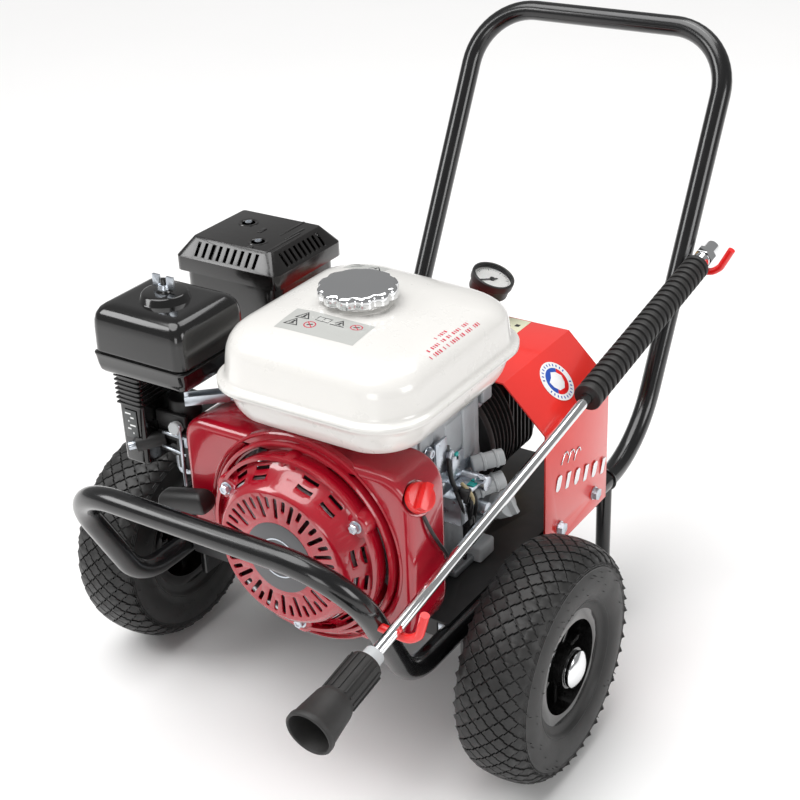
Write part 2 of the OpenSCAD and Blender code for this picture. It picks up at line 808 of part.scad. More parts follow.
module flywheel() {
    fins = 12;
    front = -recoil_front + 50;
    color("#5b5e62") difference() {
        union() {
            along_y(crank_x, front, crank_z) cylinder(h = 30, r = 84);
            along_y(crank_x, front - 20, crank_z) cylinder(h = 20, r = 44);
            for (i = [0:fins - 1]) along_y(crank_x, front - 12, crank_z) rotate([0, 0, 360 * i / fins])
                translate([46, -1.5, 0]) cube([34, 3, 14]);
        }
        crank_bore(crank_r);
        along_y(crank_x, front - 21, crank_z) cylinder(h = 18, r = 38);
    }
}

module crankshaft() {
    pin_off = 27;
    color("#8d9094") {
        along_y(crank_x, -recoil_front + 30, crank_z) cylinder(h = recoil_front - 30 - 14, r = crank_r);
        along_y(crank_x, 26, crank_z) cylinder(h = 118, r = crank_r);
        for (y = [-26, 14]) along_y(crank_x, y, crank_z) cylinder(h = 12, r = 44);
        along_y(crank_x, -14, crank_z) rotate([0, 0, 25]) translate([-pin_off, 0, 0]) cylinder(h = 28, r = 14);
    }
}

starter_at = [crank_x - drum_r - 40, -146, crank_z + 10];

module starter_grip() {
    color("#1b1b1c") translate(starter_at) rotate([0, -14, 0]) difference() {
        loft([for (a = [-90:15:90]) let (inset = 9 * (1 - cos(a)))
            [for (p = round_rect(-31 + inset, 31 - inset, -12 + inset, 12 - inset, 3, 3))
                [p[0], p[1], 13 * sin(a)]]]);
        translate([0, 0, -20]) cylinder(h = 12, r = 3);
    }
}

module switch_housing() {
    color("#141415") switch_frame() {
        translate([0, 0, -10]) cylinder(h = 14, r = 12);
        translate([0, 0, 3]) cylinder(h = 3, r = switch_r);
    }
}

module switch_knob() {
    color("#ef2230") switch_frame() translate([0, 0, 6 + touch_gap]) {
        cylinder(h = 7, r1 = switch_r + 0.5, r2 = switch_r - 0.5);
        rotate([0, 0, 50]) intersection() {
            translate([-4, -switch_r, 6]) cube([8, 2 * switch_r, 10]);
            cylinder(h = 17, r = switch_r - 1.5);
        }
    }
}

module control_unit() {
    color("#b7babd") translate([case_x1, 0, crank_z]) {
        translate([0, -22, -34]) cube([2.5, 84, 70]);
        translate([2.5, 4, -30]) cube([22, 28, 30]);
        along_x(2.5, 46, 2) cylinder(h = 30, r = 8);
        along_x(2.5, 46, -30) cylinder(h = 30, r = 8);
        along_x(2.5, -10, 20) cylinder(h = 10, r = 6);
    }
}

// ---- fuel tank ----

function tank_rings(skin) = let (last = len(tank_steps) - 1)
    [for (i = [0:last]) let (s = tank_steps[i],
        z = tank_seam + s[1] + (i < 2 ? skin : (i > last - 4 ? -skin : 0)))
        if (skin == 0 || s[0] > 6.5)
            slab_ring(tank_x0, tank_x1, tank_y0, tank_y1, tank_corner, s[0] + skin, z, 7)];

module fuel_tank() {
    color("#ecebe8") difference() {
        union() {
            difference() {
                loft(tank_rings(0));
                loft(tank_rings(tank_t));
            }
            translate([neck_x, neck_y, tank_top - 6]) cylinder(h = 10, r = neck_r + 3);
        }
        translate([neck_x, neck_y, tank_top - 20]) cylinder(h = 40, r = neck_r);
    }
}

module fuel_cap() {
    lobes = 12;
    under = tank_top + 4 + touch_gap;
    color("#cfd1d4") translate([neck_x, neck_y, 0]) difference() {
        union() {
            translate([0, 0, under]) cylinder(h = 10, r = cap_r);
            translate([0, 0, under + 10]) cylinder(h = 4, r1 = cap_r, r2 = cap_r - 12);
            translate([0, 0, under - 3.5]) difference() {
                cylinder(h = 4, r = cap_r);
                translate([0, 0, -1]) cylinder(h = 6, r = cap_r - 2);
            }
        }
        for (i = [0:lobes - 1]) rotate([0, 0, 360 * i / lobes])
            translate([cap_r + 4, 0, under - 5]) cylinder(h = 30, r = 7);
    }
}

// ---- air cleaner and carburettor ----

duct_x1 = air_x0 + 44;
carb_x = duct_x1 + 24;
carb_y = -100;
carb_z = crank_z + 62.5;
carb_len = 42;

module air_cleaner_base() {
    color("#1a1a1b") difference() {
        union() {
            difference() {
                loft([
                    slab_ring(air_x0, air_x1, air_y0, air_y1, 14, 12, air_low),
                    slab_ring(air_x0, air_x1, air_y0, air_y1, 14, 2, air_low + 8),
                    slab_ring(air_x0, air_x1, air_y0, air_y1, 14, 0, air_seam)]);
                translate([0, 0, 4]) loft([
                    slab_ring(air_x0, air_x1, air_y0, air_y1, 14, 15, air_low),
                    slab_ring(air_x0, air_x1, air_y0, air_y1, 14, 5, air_low + 8),
                    slab_ring(air_x0, air_x1, air_y0, air_y1, 14, 3, air_seam)]);
            }
            translate([air_x0 + 12, air_y0 + 16, carb_z - 32]) cube([duct_x1 - air_x0 - 12, 62, air_low - carb_z + 33]);
            translate([stud_x, stud_y, air_low]) cylinder(h = air_top + 22 - air_low, r = stud_r);
        }
        translate([air_x0 + 18, air_y0 + 22, carb_z - 26]) cube([duct_x1 - air_x0 - 24, 50, air_low - carb_z + 40]);
        along_x(duct_x1 - 10, carb_y, carb_z) cylinder(h = 20, r = 13);
    }
}

module air_cleaner_cover() {
    color("#19191a") difference() {
        union() {
            soft_block(air_x0 + 1, air_x1 - 1, air_y0 + 1, air_y1 - 1, air_seam, air_top, 14, 9);
            translate([stud_x, stud_y, air_top - 1]) cylinder(h = 9, r1 = 20, r2 = 17);
        }
        soft_block(air_x0 + 3.5, air_x1 - 3.5, air_y0 + 3.5, air_y1 - 3.5,
            air_seam - 1, air_top - 2.5, 12, 8);
        translate([stud_x, stud_y, air_seam]) cylinder(h = 80, r = stud_r + 0.3);
    }
}

module filter_element() {
    color("#c8a45a") translate([stud_x, stud_y, air_low + 4.1]) difference() {
        cylinder(h = 56, r = filter_r);
        translate([0, 0, -1]) cylinder(h = 60, r = 24);
    }
}

module wing_nut() {
    color("#d8dadd") translate([stud_x, stud_y, air_top + 8 + 0.1]) difference() {
        union() {
            cylinder(h = 7, r1 = 7, r2 = 5.5);
            for (side = [-1, 1]) translate([side * 9 - 4.5, -1.3, 3]) cube([9, 2.6, 13]);
        }
        translate([0, 0, -1]) cylinder(h = 20, r = stud_r + 0.3);
    }
}

module carburettor() {
    color("#8f9296") difference() {
        union() {
            translate([duct_x1, carb_y - 17, carb_z - 20]) cube([carb_len, 36, 40]);
            translate([duct_x1 + carb_len - 20, carb_y + 19, carb_z - 16])
                cube([16, cyl_y - 50 - carb_y - 19, 32]);
        }
        along_x(duct_x1 - 1, carb_y, carb_z) cylinder(h = 36, r = 11);
        along_y(carb_x, carb_y - 18, carb_z + 13) cylinder(h = 12, r = 3 + run_gap);
        along_y(carb_x, carb_y - 18, carb_z - 12) cylinder(h = 12, r = 3 + run_gap);
    }
}

module float_bowl() {
    color("#c9cbcd") translate([carb_x, carb_y, carb_z - 20]) mirror([0, 0, 1]) {
        cylinder(h = 6, r = 16);
        translate([0, 0, 6]) cylinder(h = 20, r1 = 15.5, r2 = 13);
        translate([0, 0, 26]) cylinder(h = 4, r = 5);
    }
}

module small_lever(z, length, dir) {
    color("#232425") translate([carb_x, carb_y - 17, z]) {
        rotate([90, 0, 0]) translate([0, 0, touch_gap]) cylinder(h = 5, r = 7);
        rotate([-90, 0, 0]) translate([0, 0, -1]) cylinder(h = 9, r = 3);
        rotate([90, 0, 0]) translate([0, 0, 1 + touch_gap]) rotate([0, 0, dir])
            translate([0, -3.5, 0]) cube([length, 7, 3]);
    }
}

module choke_lever() {
    small_lever(carb_z + 13, 20, 170);
}

module fuel_lever() {
    small_lever(carb_z - 12, 20, 185);
}

module throttle_lever() {
    color("#c2c5c8") translate(throttle_at) {
        difference() {
            cylinder(h = 3, r = 9);
            translate([0, 0, -1]) cylinder(h = 5, r = 4 + run_gap);
        }
        rotate([0, 0, 222]) difference() {
            translate([7, -7, 0]) cube([46, 14, 10]);
            translate([6, -5, 3]) cube([48, 10, 10]);
        }
    }
}

// ---- muffler ----

// Exhaust pipe from beside the cylinder head up into the muffler
module exhaust_pipe(r, over) {
    port = [crank_x - 150 * cos(cylinder_angle), cyl_y + 66, crank_z + 150 * sin(cylinder_angle)];
    entry = [port[0] - 20, port[1] + 16, muffler_low + 2];
    bar(port - over * unit(entry - port), entry + over * unit(entry - port), r);
}

module muffler() {
    skin = 2.5;
    color("#2a2a2b") difference() {
        union() {
            soft_block(muffler_x0 + 5, muffler_x1 - 5, muffler_y0 + 5, muffler_y1 - 5,
                muffler_low, muffler_shoulder, 16, 8);
            exhaust_pipe(13, 0);
        }
        translate([muffler_x0 + 14, muffler_y0 + 14, muffler_low + skin])
            cube([muffler_x1 - muffler_x0 - 28, muffler_y1 - muffler_y0 - 28,
                muffler_shoulder - muffler_low - 3 * skin]);
        exhaust_pipe(11, 8);
    }
}

module muffler_guard() {
    slots = 9;
    step_x = (muffler_x1 - muffler_x0 - 50) / slots;
    step_y = (muffler_y1 - muffler_y0 - 46) / slots;
    bevel = 16;
    color("#161617") difference() {
        loft([
            slab_ring(muffler_x0, muffler_x1, muffler_y0, muffler_y1, 8, 0, muffler_shoulder - 16, 3),
            slab_ring(muffler_x0, muffler_x1, muffler_y0, muffler_y1, 8, 0, muffler_shoulder, 3),
            slab_ring(muffler_x0, muffler_x1, muffler_y0, muffler_y1, 8, bevel, muffler_top, 3)]);
        loft([
            slab_ring(muffler_x0, muffler_x1, muffler_y0, muffler_y1, 8, 1.5, muffler_shoulder - 17, 3),
            slab_ring(muffler_x0, muffler_x1, muffler_y0, muffler_y1, 8, 1.5, muffler_shoulder - 0.6, 3),
            slab_ring(muffler_x0, muffler_x1, muffler_y0, muffler_y1, 8, bevel + 1, muffler_top - 1.5, 3)]);
        for (i = [0:slots - 1]) {
            translate([muffler_x0 + 26 + step_x * i, muffler_y0 - 1, muffler_shoulder + 3]) cube([4, 18, 13]);
            translate([muffler_x1 - 17, muffler_y0 + 24 + step_y * i, muffler_shoulder + 3]) cube([18, 4, 13]);
        }
    }
}

// ---- pump ----

module pump_flange() {
    fins = 6;
    fin_r = min(flange_r, cover_top - cover_t - crank_z) - 1.5;
    color("#1d1e20") difference() {
        union() {
            along_y(crank_x, cover_plate_y1, crank_z) cylinder(h = 10, r = flange_r);
            along_y(crank_x, cover_plate_y1, crank_z) cylinder(h = flange_y1 - cover_plate_y1, r = flange_r - 10);
            for (i = [1:fins]) along_y(crank_x, cover_plate_y1 + 10 + 7.4 * i, crank_z)
                cylinder(h = 3, r = fin_r);
        }
        along_y(crank_x, cover_plate_y1 - 1, crank_z) cylinder(h = flange_y1, r = shaft_r + 12);
    }
}

module pump_crankcase() {
    fins = 7;
    color("#222325") difference() {
        union() {
            front_prism(flange_y1, pump_y1, round_rect(pump_x - pump_half, pump_x + pump_half,
                crank_z - pump_half, crank_z + pump_half, 20));
            for (i = [0:fins - 1]) front_prism(flange_y1 + 10 + 9 * i, flange_y1 + 13 + 9 * i,
                round_rect(pump_x - pump_half - 5, pump_x + pump_half + 5,
                    crank_z - pump_half - 5, crank_z + pump_half + 5, 24));
        }
        along_y(crank_x, flange_y1 - 1, crank_z) cylinder(h = pump_y1 - flange_y1 - 5, r = shaft_r + 4);
    }
}

module pump_shaft() {
    color("#9a9da1") difference() {
        union() {
            along_y(crank_x, cover_plate_y1 + 1, crank_z) cylinder(h = 50, r = shaft_r);
            along_y(crank_x, cover_plate_y1 + 50, crank_z) cylinder(h = pump_shaft_end - cover_plate_y1 - 50, r = 14);
        }
        along_y(crank_x, 0, crank_z) cylinder(h = 144, r = crank_r);
    }
}

port_in = [pump_x - 26, head_y1, crank_z - 24];
port_out = [pump_x + 22, head_y1, crank_z - 24];
unloader_at = [pump_x - 50, pump_y1 + 19, crank_z + 22];

module pump_head() {
    color("#c9a24a") difference() {
        union() {
            front_prism(pump_y1, head_y1, round_rect(pump_x - 50, pump_x + 50, crank_z - 50, crank_z + 50, 12));
            translate([gauge_foot[0], gauge_foot[1], crank_z + 48]) cylinder(h = gauge_foot[2] - crank_z - 48, r = 6);
        }
        along_y(port_out[0], port_out[1] - 20, port_out[2]) cylinder(h = 21, r = 8);
        along_y(port_in[0], port_in[1] - 20, port_in[2]) cylinder(h = 21, r = 9);
    }
}

module valve_caps() {
    color("#d0a850") for (x = [-30, 0, 30]) for (z = [6, 32])
        along_y(pump_x + x, head_y1, crank_z + z) hex_prism(15, 7);
}

module outlet_fitting() {
    color("#cfd1d3") along_y(port_out[0], port_out[1], port_out[2]) difference() {
        union() {
            hex_prism(27, 9);
            translate([0, 0, 9]) cylinder(h = 16, r = 11);
        }
        translate([0, 0, -1]) cylinder(h = 30, r = 6);
    }
}

module inlet_fitting() {
    color("#d0a850") along_y(port_in[0], port_in[1], port_in[2]) difference() {
        union() {
            hex_prism(30, 10);
            translate([0, 0, 10]) cylinder(h = 18, r = 13.2);
        }
        translate([0, 0, -1]) cylinder(h = 30, r = 9);
    }
}

module unloader_valve() {
    color("#c9a24a") translate(unloader_at) rotate([0, -90, 0]) {
        cylinder(h = 34, r = 14);
        translate([0, 0, 34]) hex_prism(24, 10);
        translate([0, 0, 44]) cylinder(h = 18, r = 5);
    }
}

module pressure_knob() {
    color("#c41f1c") translate(unloader_at) rotate([0, -90, 0]) translate([0, 0, 44 + touch_gap])
        difference() {
            union() {
                cylinder(h = 22, r = 16);
                for (i = [0:7]) rotate([0, 0, 45 * i]) translate([16, 0, 0]) cylinder(h = 22, r = 3, $fn = 16);
            }
            translate([0, 0, -1]) cylinder(h = 20, r = 5 + run_gap);
        }
}

// ---- pressure gauge ----

module on_gauge(h) {
    translate(gauge_foot) rotate([0, gauge_lean, 0]) translate([0, 0, h]) children();
}

module gauge_case() {
    color("#18181a") on_gauge(0) difference() {
        union() {
            translate([0, 0, 2.5]) cylinder(h = 7, r = 6.5);
            translate([0, 0, 9]) cylinder(h = 12, r1 = 15, r2 = 21);
            translate([0, 0, 21]) cylinder(h = gauge_len - 21, r = 23);
            translate([0, 0, gauge_len - 9]) cylinder(h = 9, r = gauge_r);
        }
        translate([0, 0, gauge_len - 8]) cylinder(h = 10, r = gauge_r - 2.5);
    }
}

module gauge_dial() {
    color("#f1f1ee") on_gauge(gauge_len - 8) difference() {
        cylinder(h = 1, r = gauge_r - 2.5);
        translate([0, 0, -1]) cylinder(h = 3, r = 1 + run_gap);
    }
}

module gauge_needle() {
    color("#111111") on_gauge(gauge_len - 7) {
        translate([0, 0, -0.8]) cylinder(h = 2.6, r = 1);
        translate([0, 0, 0.6]) cylinder(h = 1.2, r = 3);
        rotate([0, 0, -120]) translate([-7, -0.7, 0.7]) cube([25, 1.4, 0.7]);
    }
}

module gauge_lens() {
    color("#cfe3ea", 0.35) on_gauge(gauge_len - 3) cylinder(h = 2, r = gauge_r - 2.5);
}

placed() handle_hoop();
placed() base_frame();
placed() rear_stand();
placed() base_plate();
placed() rubber_feet();
placed() axle();
placed() axle_caps();
placed() tyre_left();
placed() tyre_right();
placed() rim_left();
placed() rim_right();
placed() pump_cover();
placed() hex_bolts();
placed() lance_hooks();
placed() crankcase();
placed() crankcase_cover();
placed() cylinder_head();
placed() rocker_cover();
placed() spark_plug();
placed() plug_cap();
placed() fan_shroud();
placed() recoil_housing();
placed() starter_grip();
placed() crankshaft();
placed() flywheel();
placed() fuel_tank();
placed() fuel_cap();
placed() air_cleaner_base();
placed() air_cleaner_cover();
placed() filter_element();
placed() wing_nut();
placed() carburettor();
placed() float_bowl();
placed() choke_lever();
placed() fuel_lever();
placed() throttle_lever();
placed() muffler();
placed() muffler_guard();
placed() switch_housing();
placed() switch_knob();
placed() oil_plug();
placed() control_unit();
placed() pump_flange();
placed() pump_crankcase();
placed() pump_head();
placed() pump_shaft();
placed() valve_caps();
placed() unloader_valve();
placed() pressure_knob();
placed() inlet_fitting();
placed() outlet_fitting();
placed() gauge_case();
placed() gauge_dial();
placed() gauge_needle();
placed() gauge_lens();
placed() lance_tube();
placed() lance_grip();
placed() lance_fitting();
placed() nozzle_holder();
placed() nozzle_guard();
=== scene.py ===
import bpy
import json
import random
from math import atan2, cos, degrees, dist, hypot, pi, radians, sin, sqrt, tan
from mathutils import Matrix, Vector
from mathutils.bvhtree import BVHTree


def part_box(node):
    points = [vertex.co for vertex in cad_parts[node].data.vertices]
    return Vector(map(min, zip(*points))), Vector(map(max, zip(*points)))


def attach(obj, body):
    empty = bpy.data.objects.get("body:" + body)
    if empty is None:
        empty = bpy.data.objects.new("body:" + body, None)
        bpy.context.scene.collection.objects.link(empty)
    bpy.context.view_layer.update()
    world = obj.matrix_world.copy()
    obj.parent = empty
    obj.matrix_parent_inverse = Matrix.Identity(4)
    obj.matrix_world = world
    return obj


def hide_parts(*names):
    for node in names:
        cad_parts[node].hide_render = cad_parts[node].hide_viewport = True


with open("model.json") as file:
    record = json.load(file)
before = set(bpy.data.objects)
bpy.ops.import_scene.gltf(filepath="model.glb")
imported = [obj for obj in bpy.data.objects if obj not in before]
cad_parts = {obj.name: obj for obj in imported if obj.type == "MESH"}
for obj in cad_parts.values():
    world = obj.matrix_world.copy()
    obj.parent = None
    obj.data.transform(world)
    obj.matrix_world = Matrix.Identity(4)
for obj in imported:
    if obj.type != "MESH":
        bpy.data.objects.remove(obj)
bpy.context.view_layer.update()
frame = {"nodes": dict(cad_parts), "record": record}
cad = frame["nodes"]
axleLow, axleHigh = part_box("axle")
axleY = (axleLow.y + axleHigh.y) / 2
random.seed(7)
shift = Matrix.Translation


def at(x, y, z):  # millimetres, from the ground below the middle of the axle
    return Vector((x / 1000, y / 1000 + axleY, z / 1000))


# ---- modelling helpers, all sizes in millimetres ----

def spun(angle, axis):
    return Matrix.Rotation(radians(angle), 4, axis)


def only(*objs):
    if bpy.context.mode != "OBJECT":
        bpy.ops.object.mode_set(mode="OBJECT")
    bpy.ops.object.select_all(action="DESELECT")
    for obj in objs:
        obj.select_set(True)
    if objs:
        bpy.context.view_layer.objects.active = objs[0]


def editAll(obj):
    only(obj)
    bpy.ops.object.mode_set(mode="EDIT")
    bpy.ops.mesh.select_all(action="SELECT")


def leaveEdit():
    bpy.ops.object.mode_set(mode="OBJECT")


def inScene(obj):
    bpy.context.scene.collection.objects.link(obj)
    return obj


def named(name):
    obj = bpy.context.object
    obj.name = name
    obj.data.name = name
    return obj


def placeInMesh(obj, matrix=None):
    if matrix is not None:
        obj.matrix_world = matrix
    only(obj)
    bpy.ops.object.transform_apply(location=True, rotation=True, scale=True)
    return obj


def modify(obj, kind, **values):
    only(obj)
    mod = obj.modifiers.new(kind.lower(), kind)
    for key, value in values.items():
        setattr(mod, key, value)
    bpy.ops.object.modifier_apply(modifier=mod.name)
    return obj


def rounded(obj, edge, segments=2, angle=30):
    return modify(obj, "BEVEL", width=edge / 1000, segments=segments,
                  limit_method="ANGLE", angle_limit=radians(angle))


def smooth(obj, angle=35):
    only(obj)
    bpy.ops.object.shade_smooth_by_angle(angle=radians(angle))
    return obj


def outward(obj):
    editAll(obj)
    bpy.ops.mesh.normals_make_consistent(inside=False)
    leaveEdit()
    return obj


def joined(name, parts):
    only(*parts)
    if len(parts) > 1:
        bpy.ops.object.join()
    return named(name)


def copied(obj, matrix):
    other = inScene(obj.copy())
    other.data = obj.data.copy()
    other.data.transform(matrix)
    return other


def facing(origin, axis, spin=0):  # local Z along axis, at a place in millimetres
    turn = Vector((0, 0, 1)).rotation_difference(Vector(axis).normalized())
    return shift(at(*origin)) @ turn.to_matrix().to_4x4() @ spun(spin, "Z")


def block(name, centre, size, edge=0.8, segments=2, turn=(0, 0, 0)):
    only()
    bpy.ops.mesh.primitive_cube_add(size=1)
    obj = named(name)
    obj.scale = [s / 1000 for s in size]
    placeInMesh(obj)
    modify(obj, "BEVEL", width=edge / 1000, segments=segments, limit_method="NONE")
    place = shift(at(*centre))
    for angle, axis in zip(turn, "XYZ"):
        place = place @ spun(angle, axis)
    return smooth(placeInMesh(obj, place))


def turned(name, profile, origin, axis, sides=64, hollow=False, angle=35, spin=0):
    only()  # profile is radius and height, ring by ring
    bpy.ops.mesh.primitive_circle_add(vertices=sides, radius=profile[0][0] / 1000,
                                      fill_type="NOTHING" if hollow else "NGON",
                                      location=(0, 0, profile[0][1] / 1000))
    obj = named(name)
    placeInMesh(obj)
    editAll(obj)
    for (r0, h0), (r1, h1) in zip(profile, profile[1:]):
        if hollow:
            bpy.ops.mesh.extrude_edges_move()
        else:
            bpy.ops.mesh.extrude_region_move()
        bpy.ops.transform.resize(value=(r1 / r0, r1 / r0, 1))
        bpy.ops.transform.translate(value=(0, 0, (h1 - h0) / 1000))
    bpy.ops.mesh.select_all(action="SELECT")
    if hollow:
        bpy.ops.mesh.remove_doubles(threshold=0.000005)
    bpy.ops.mesh.normals_make_consistent(inside=False)
    leaveEdit()
    return smooth(placeInMesh(obj, facing(origin, axis, spin)), angle)


def rod(name, start, end, radius, edge=0.5, sides=32):
    gap = Vector(end) - Vector(start)
    long = gap.length
    edge = min(edge, long * 0.4, radius * 0.6)
    return turned(name, [(radius - edge, 0), (radius - edge * 0.3, edge * 0.3), (radius, edge), (radius, long - edge),
                         (radius - edge * 0.3, long - edge * 0.3), (radius - edge, long)], start, gap, sides)


def hexHead(name, origin, axis, across=13, height=5.5, washer=8, spin=0):
    r = across / 2 / cos(radians(30))
    head = turned(name, [(r - 0.9, 0.4), (r, 1.0), (r, height - 1.1), (r * 0.86, height), (r * 0.5, height),
                         (r * 0.45, height - 0.7)], origin, axis, 6, angle=20, spin=spin)
    plate = turned(name, [(washer - 0.3, -1.2), (washer, -0.9), (washer, 0.1), (washer - 0.4, 0.4)], origin, axis, 32)
    return joined(name, [head, plate])


def bent(corners, radii, steps=12):  # a path in millimetres with round corners
    pts = [Vector(c) for c in corners]
    path = [pts[0]]
    for a, b, c, r in zip(pts, pts[1:], pts[2:], radii):
        u, v = (b - a).normalized(), (c - b).normalized()
        turn = u.angle(v)
        w = (v - u * u.dot(v)).normalized()
        start = b - u * r * tan(turn / 2)
        for i in range(steps + 1):
            f = turn * i / steps
            path.append(start + u * r * sin(f) + w * r * (1 - cos(f)))
    return path + [pts[-1]]


def tube(name, path, radius, sides=7, loose=False):
    only()
    bpy.ops.curve.primitive_nurbs_path_add()
    obj = named(name)
    curve = obj.data
    curve.splines.clear()
    line = curve.splines.new("NURBS" if loose else "POLY")
    line.points.add(len(path) - 1)
    for point, place in zip(line.points, path):
        point.co = (*at(*place), 1)
    if loose:
        line.use_endpoint_u = True
        line.order_u = 4
        line.resolution_u = 6
    curve.dimensions = "3D"
    curve.bevel_depth = radius / 1000
    curve.bevel_resolution = sides
    curve.use_fill_caps = True
    obj.location = (0, 0, 0)
    only(obj)
    bpy.ops.object.convert(target="MESH")
    return smooth(outward(named(name)), 50)


def refined(node, edge=0.6, segments=2, angle=32, shade=35):
    obj = bpy.data.objects.new(node + "Fine", cad[node].data.copy())
    inScene(obj)
    only(obj)
    bpy.ops.mesh.customdata_custom_splitnormals_clear()
    editAll(obj)
    bpy.ops.mesh.remove_doubles(threshold=0.00001)
    bpy.ops.mesh.dissolve_limited(angle_limit=radians(0.6))
    leaveEdit()
    if edge:
        rounded(obj, edge, segments, angle)
    return smooth(obj, shade)


def flatShape(name, outline, depth, edge, holes=()):  # in the XY plane, soft edges inside the outline
    only()
    bpy.ops.curve.primitive_nurbs_path_add()
    obj = named(name)
    curve = obj.data
    curve.splines.clear()
    for ring in [outline, *holes]:
        line = curve.splines.new("POLY")
        line.points.add(len(ring) - 1)
        for point, (x, y) in zip(line.points, ring):
            point.co = (x / 1000, y / 1000, 0, 1)
        line.use_cyclic_u = True
    curve.dimensions = "2D"
    curve.fill_mode = "BOTH"
    curve.bevel_depth = edge / 1000
    curve.bevel_resolution = 4
    curve.offset = -edge / 1000
    curve.extrude = depth / 2000 - edge / 1000
    only(obj)
    bpy.ops.object.convert(target="MESH")
    obj = named(name)
    editAll(obj)
    bpy.ops.mesh.remove_doubles(threshold=0.00001)
    bpy.ops.mesh.dissolve_limited(angle_limit=radians(0.5))
    bpy.ops.mesh.normals_make_consistent(inside=False)
    leaveEdit()
    return obj


def arc(cx, cy, r, a0, a1, n):
    return [(cx + r * cos(radians(a0 + (a1 - a0) * i / n)),
             cy + r * sin(radians(a0 + (a1 - a0) * i / n))) for i in range(n + 1)]


def roundBox(w, h, r, n=5):
    return (arc(w / 2 - r, h / 2 - r, r, 0, 90, n) + arc(r - w / 2, h / 2 - r, r, 90, 180, n)
            + arc(r - w / 2, r - h / 2, r, 180, 270, n) + arc(w / 2 - r, r - h / 2, r, 270, 360, n))


def fit(obj, body, slotName, look, *nodes):
    if look is not None:
        obj.data.materials.clear()
        obj.data.materials.append(look)
    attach(obj, body)
    if nodes:
        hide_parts(*nodes)
    return obj


def mark(obj, slotName, look):
    return fit(obj, "machine", slotName, extra[look])


def wear(obj, name, *nodes):  # for pieces fixed to the machine in their slot's own finish
    return fit(obj, "machine", name, looks[name], *nodes)


# ---- finishes ----

def newGroup(name, inputs, outputs):
    group = bpy.data.node_groups.new(name, "ShaderNodeTree")
    for label, kind, value in inputs:
        socket = group.interface.new_socket(name=label, in_out="INPUT", socket_type="NodeSocket" + kind)
        socket.default_value = value
    for label, kind in outputs:
        group.interface.new_socket(name=label, in_out="OUTPUT", socket_type="NodeSocket" + kind)
    return group, group.nodes.new("NodeGroupInput"), group.nodes.new("NodeGroupOutput")


def fill(node, group, values):  # sets sockets to numbers or joins them to other sockets
    for label, value in values.items():
        if isinstance(value, bpy.types.NodeSocket):
            group.links.new(value, node.inputs[label])
        else:
            node.inputs[label].default_value = value
    return node


def calc(group, operation, *terms, clamp=False):
    node = group.nodes.new("ShaderNodeMath")
    node.operation = operation
    node.use_clamp = clamp
    return fill(node, group, dict(enumerate(terms))).outputs[0]


def noiseOf(group, values):
    place = group.nodes.new("ShaderNodeTexCoord")
    noise = group.nodes.new("ShaderNodeTexNoise")
    group.links.new(place.outputs["Object"], noise.inputs["Vector"])
    return fill(noise, group, values).outputs["Fac"]


def drift():  # slow changes of tone and gloss over a surface
    group, source, result = newGroup(
        "slowDrift", [("Color", "Color", (1, 1, 1, 1)), ("Scale", "Float", 30.0), ("Tone", "Float", 0.1),
                      ("Roughness", "Float", 0.4), ("Gloss", "Float", 0.1)],
        [("Color", "Color"), ("Roughness", "Float")])
    given = source.outputs
    noise = noiseOf(group, {"Detail": 6, "Roughness": 0.6, "Scale": given["Scale"]})
    centre = calc(group, "SUBTRACT", noise, 0.5)
    scaled = group.nodes.new("ShaderNodeVectorMath")
    scaled.operation = "SCALE"
    fill(scaled, group, {0: given["Color"], "Scale": calc(group, "MULTIPLY_ADD", centre, given["Tone"], 1.0)})
    gloss = calc(group, "MULTIPLY_ADD", centre, given["Gloss"], given["Roughness"], clamp=True)
    fill(result, group, {"Color": scaled.outputs[0], "Roughness": gloss})
    return group


def grain():  # fine height for bumps
    group, source, result = newGroup(
        "fineGrain", [("Scale", "Float", 900.0), ("Soft", "Float", 0.5)], [("Height", "Float")])
    noise = noiseOf(group, {"Detail": 3, "Scale": source.outputs["Scale"], "Roughness": source.outputs["Soft"]})
    fill(result, group, {"Height": noise})
    return group


def dust():  # a little dust on what faces up
    group, source, result = newGroup(
        "settledDust", [("Color", "Color", (0, 0, 0, 1)), ("Dust", "Color", (0.5, 0.48, 0.45, 1)),
                        ("Amount", "Float", 0.1)], [("Color", "Color")])
    noise = noiseOf(group, {"Scale": 60, "Detail": 8})
    shape = group.nodes.new("ShaderNodeNewGeometry")
    split = fill(group.nodes.new("ShaderNodeSeparateXYZ"), group, {0: shape.outputs["Normal"]})
    up = calc(group, "MULTIPLY", split.outputs["Z"], noise, clamp=True)
    mix = group.nodes.new("ShaderNodeMix")
    mix.data_type = "RGBA"
    fill(mix, group, {"Factor": calc(group, "MULTIPLY", up, source.outputs["Amount"]), 6: source.outputs["Color"],
                      7: source.outputs["Dust"]})
    fill(result, group, {"Color": mix.outputs[2]})
    return group


driftGroup, grainGroup, dustGroup = drift(), grain(), dust()


def newMaterial(name):
    mat = bpy.data.materials.new(name)
    mat.use_nodes = True
    return mat, mat.node_tree.nodes["Principled BSDF"], mat.node_tree


def shared(tree, group, values):
    node = tree.nodes.new("ShaderNodeGroup")
    node.node_tree = group
    return fill(node, tree, values)


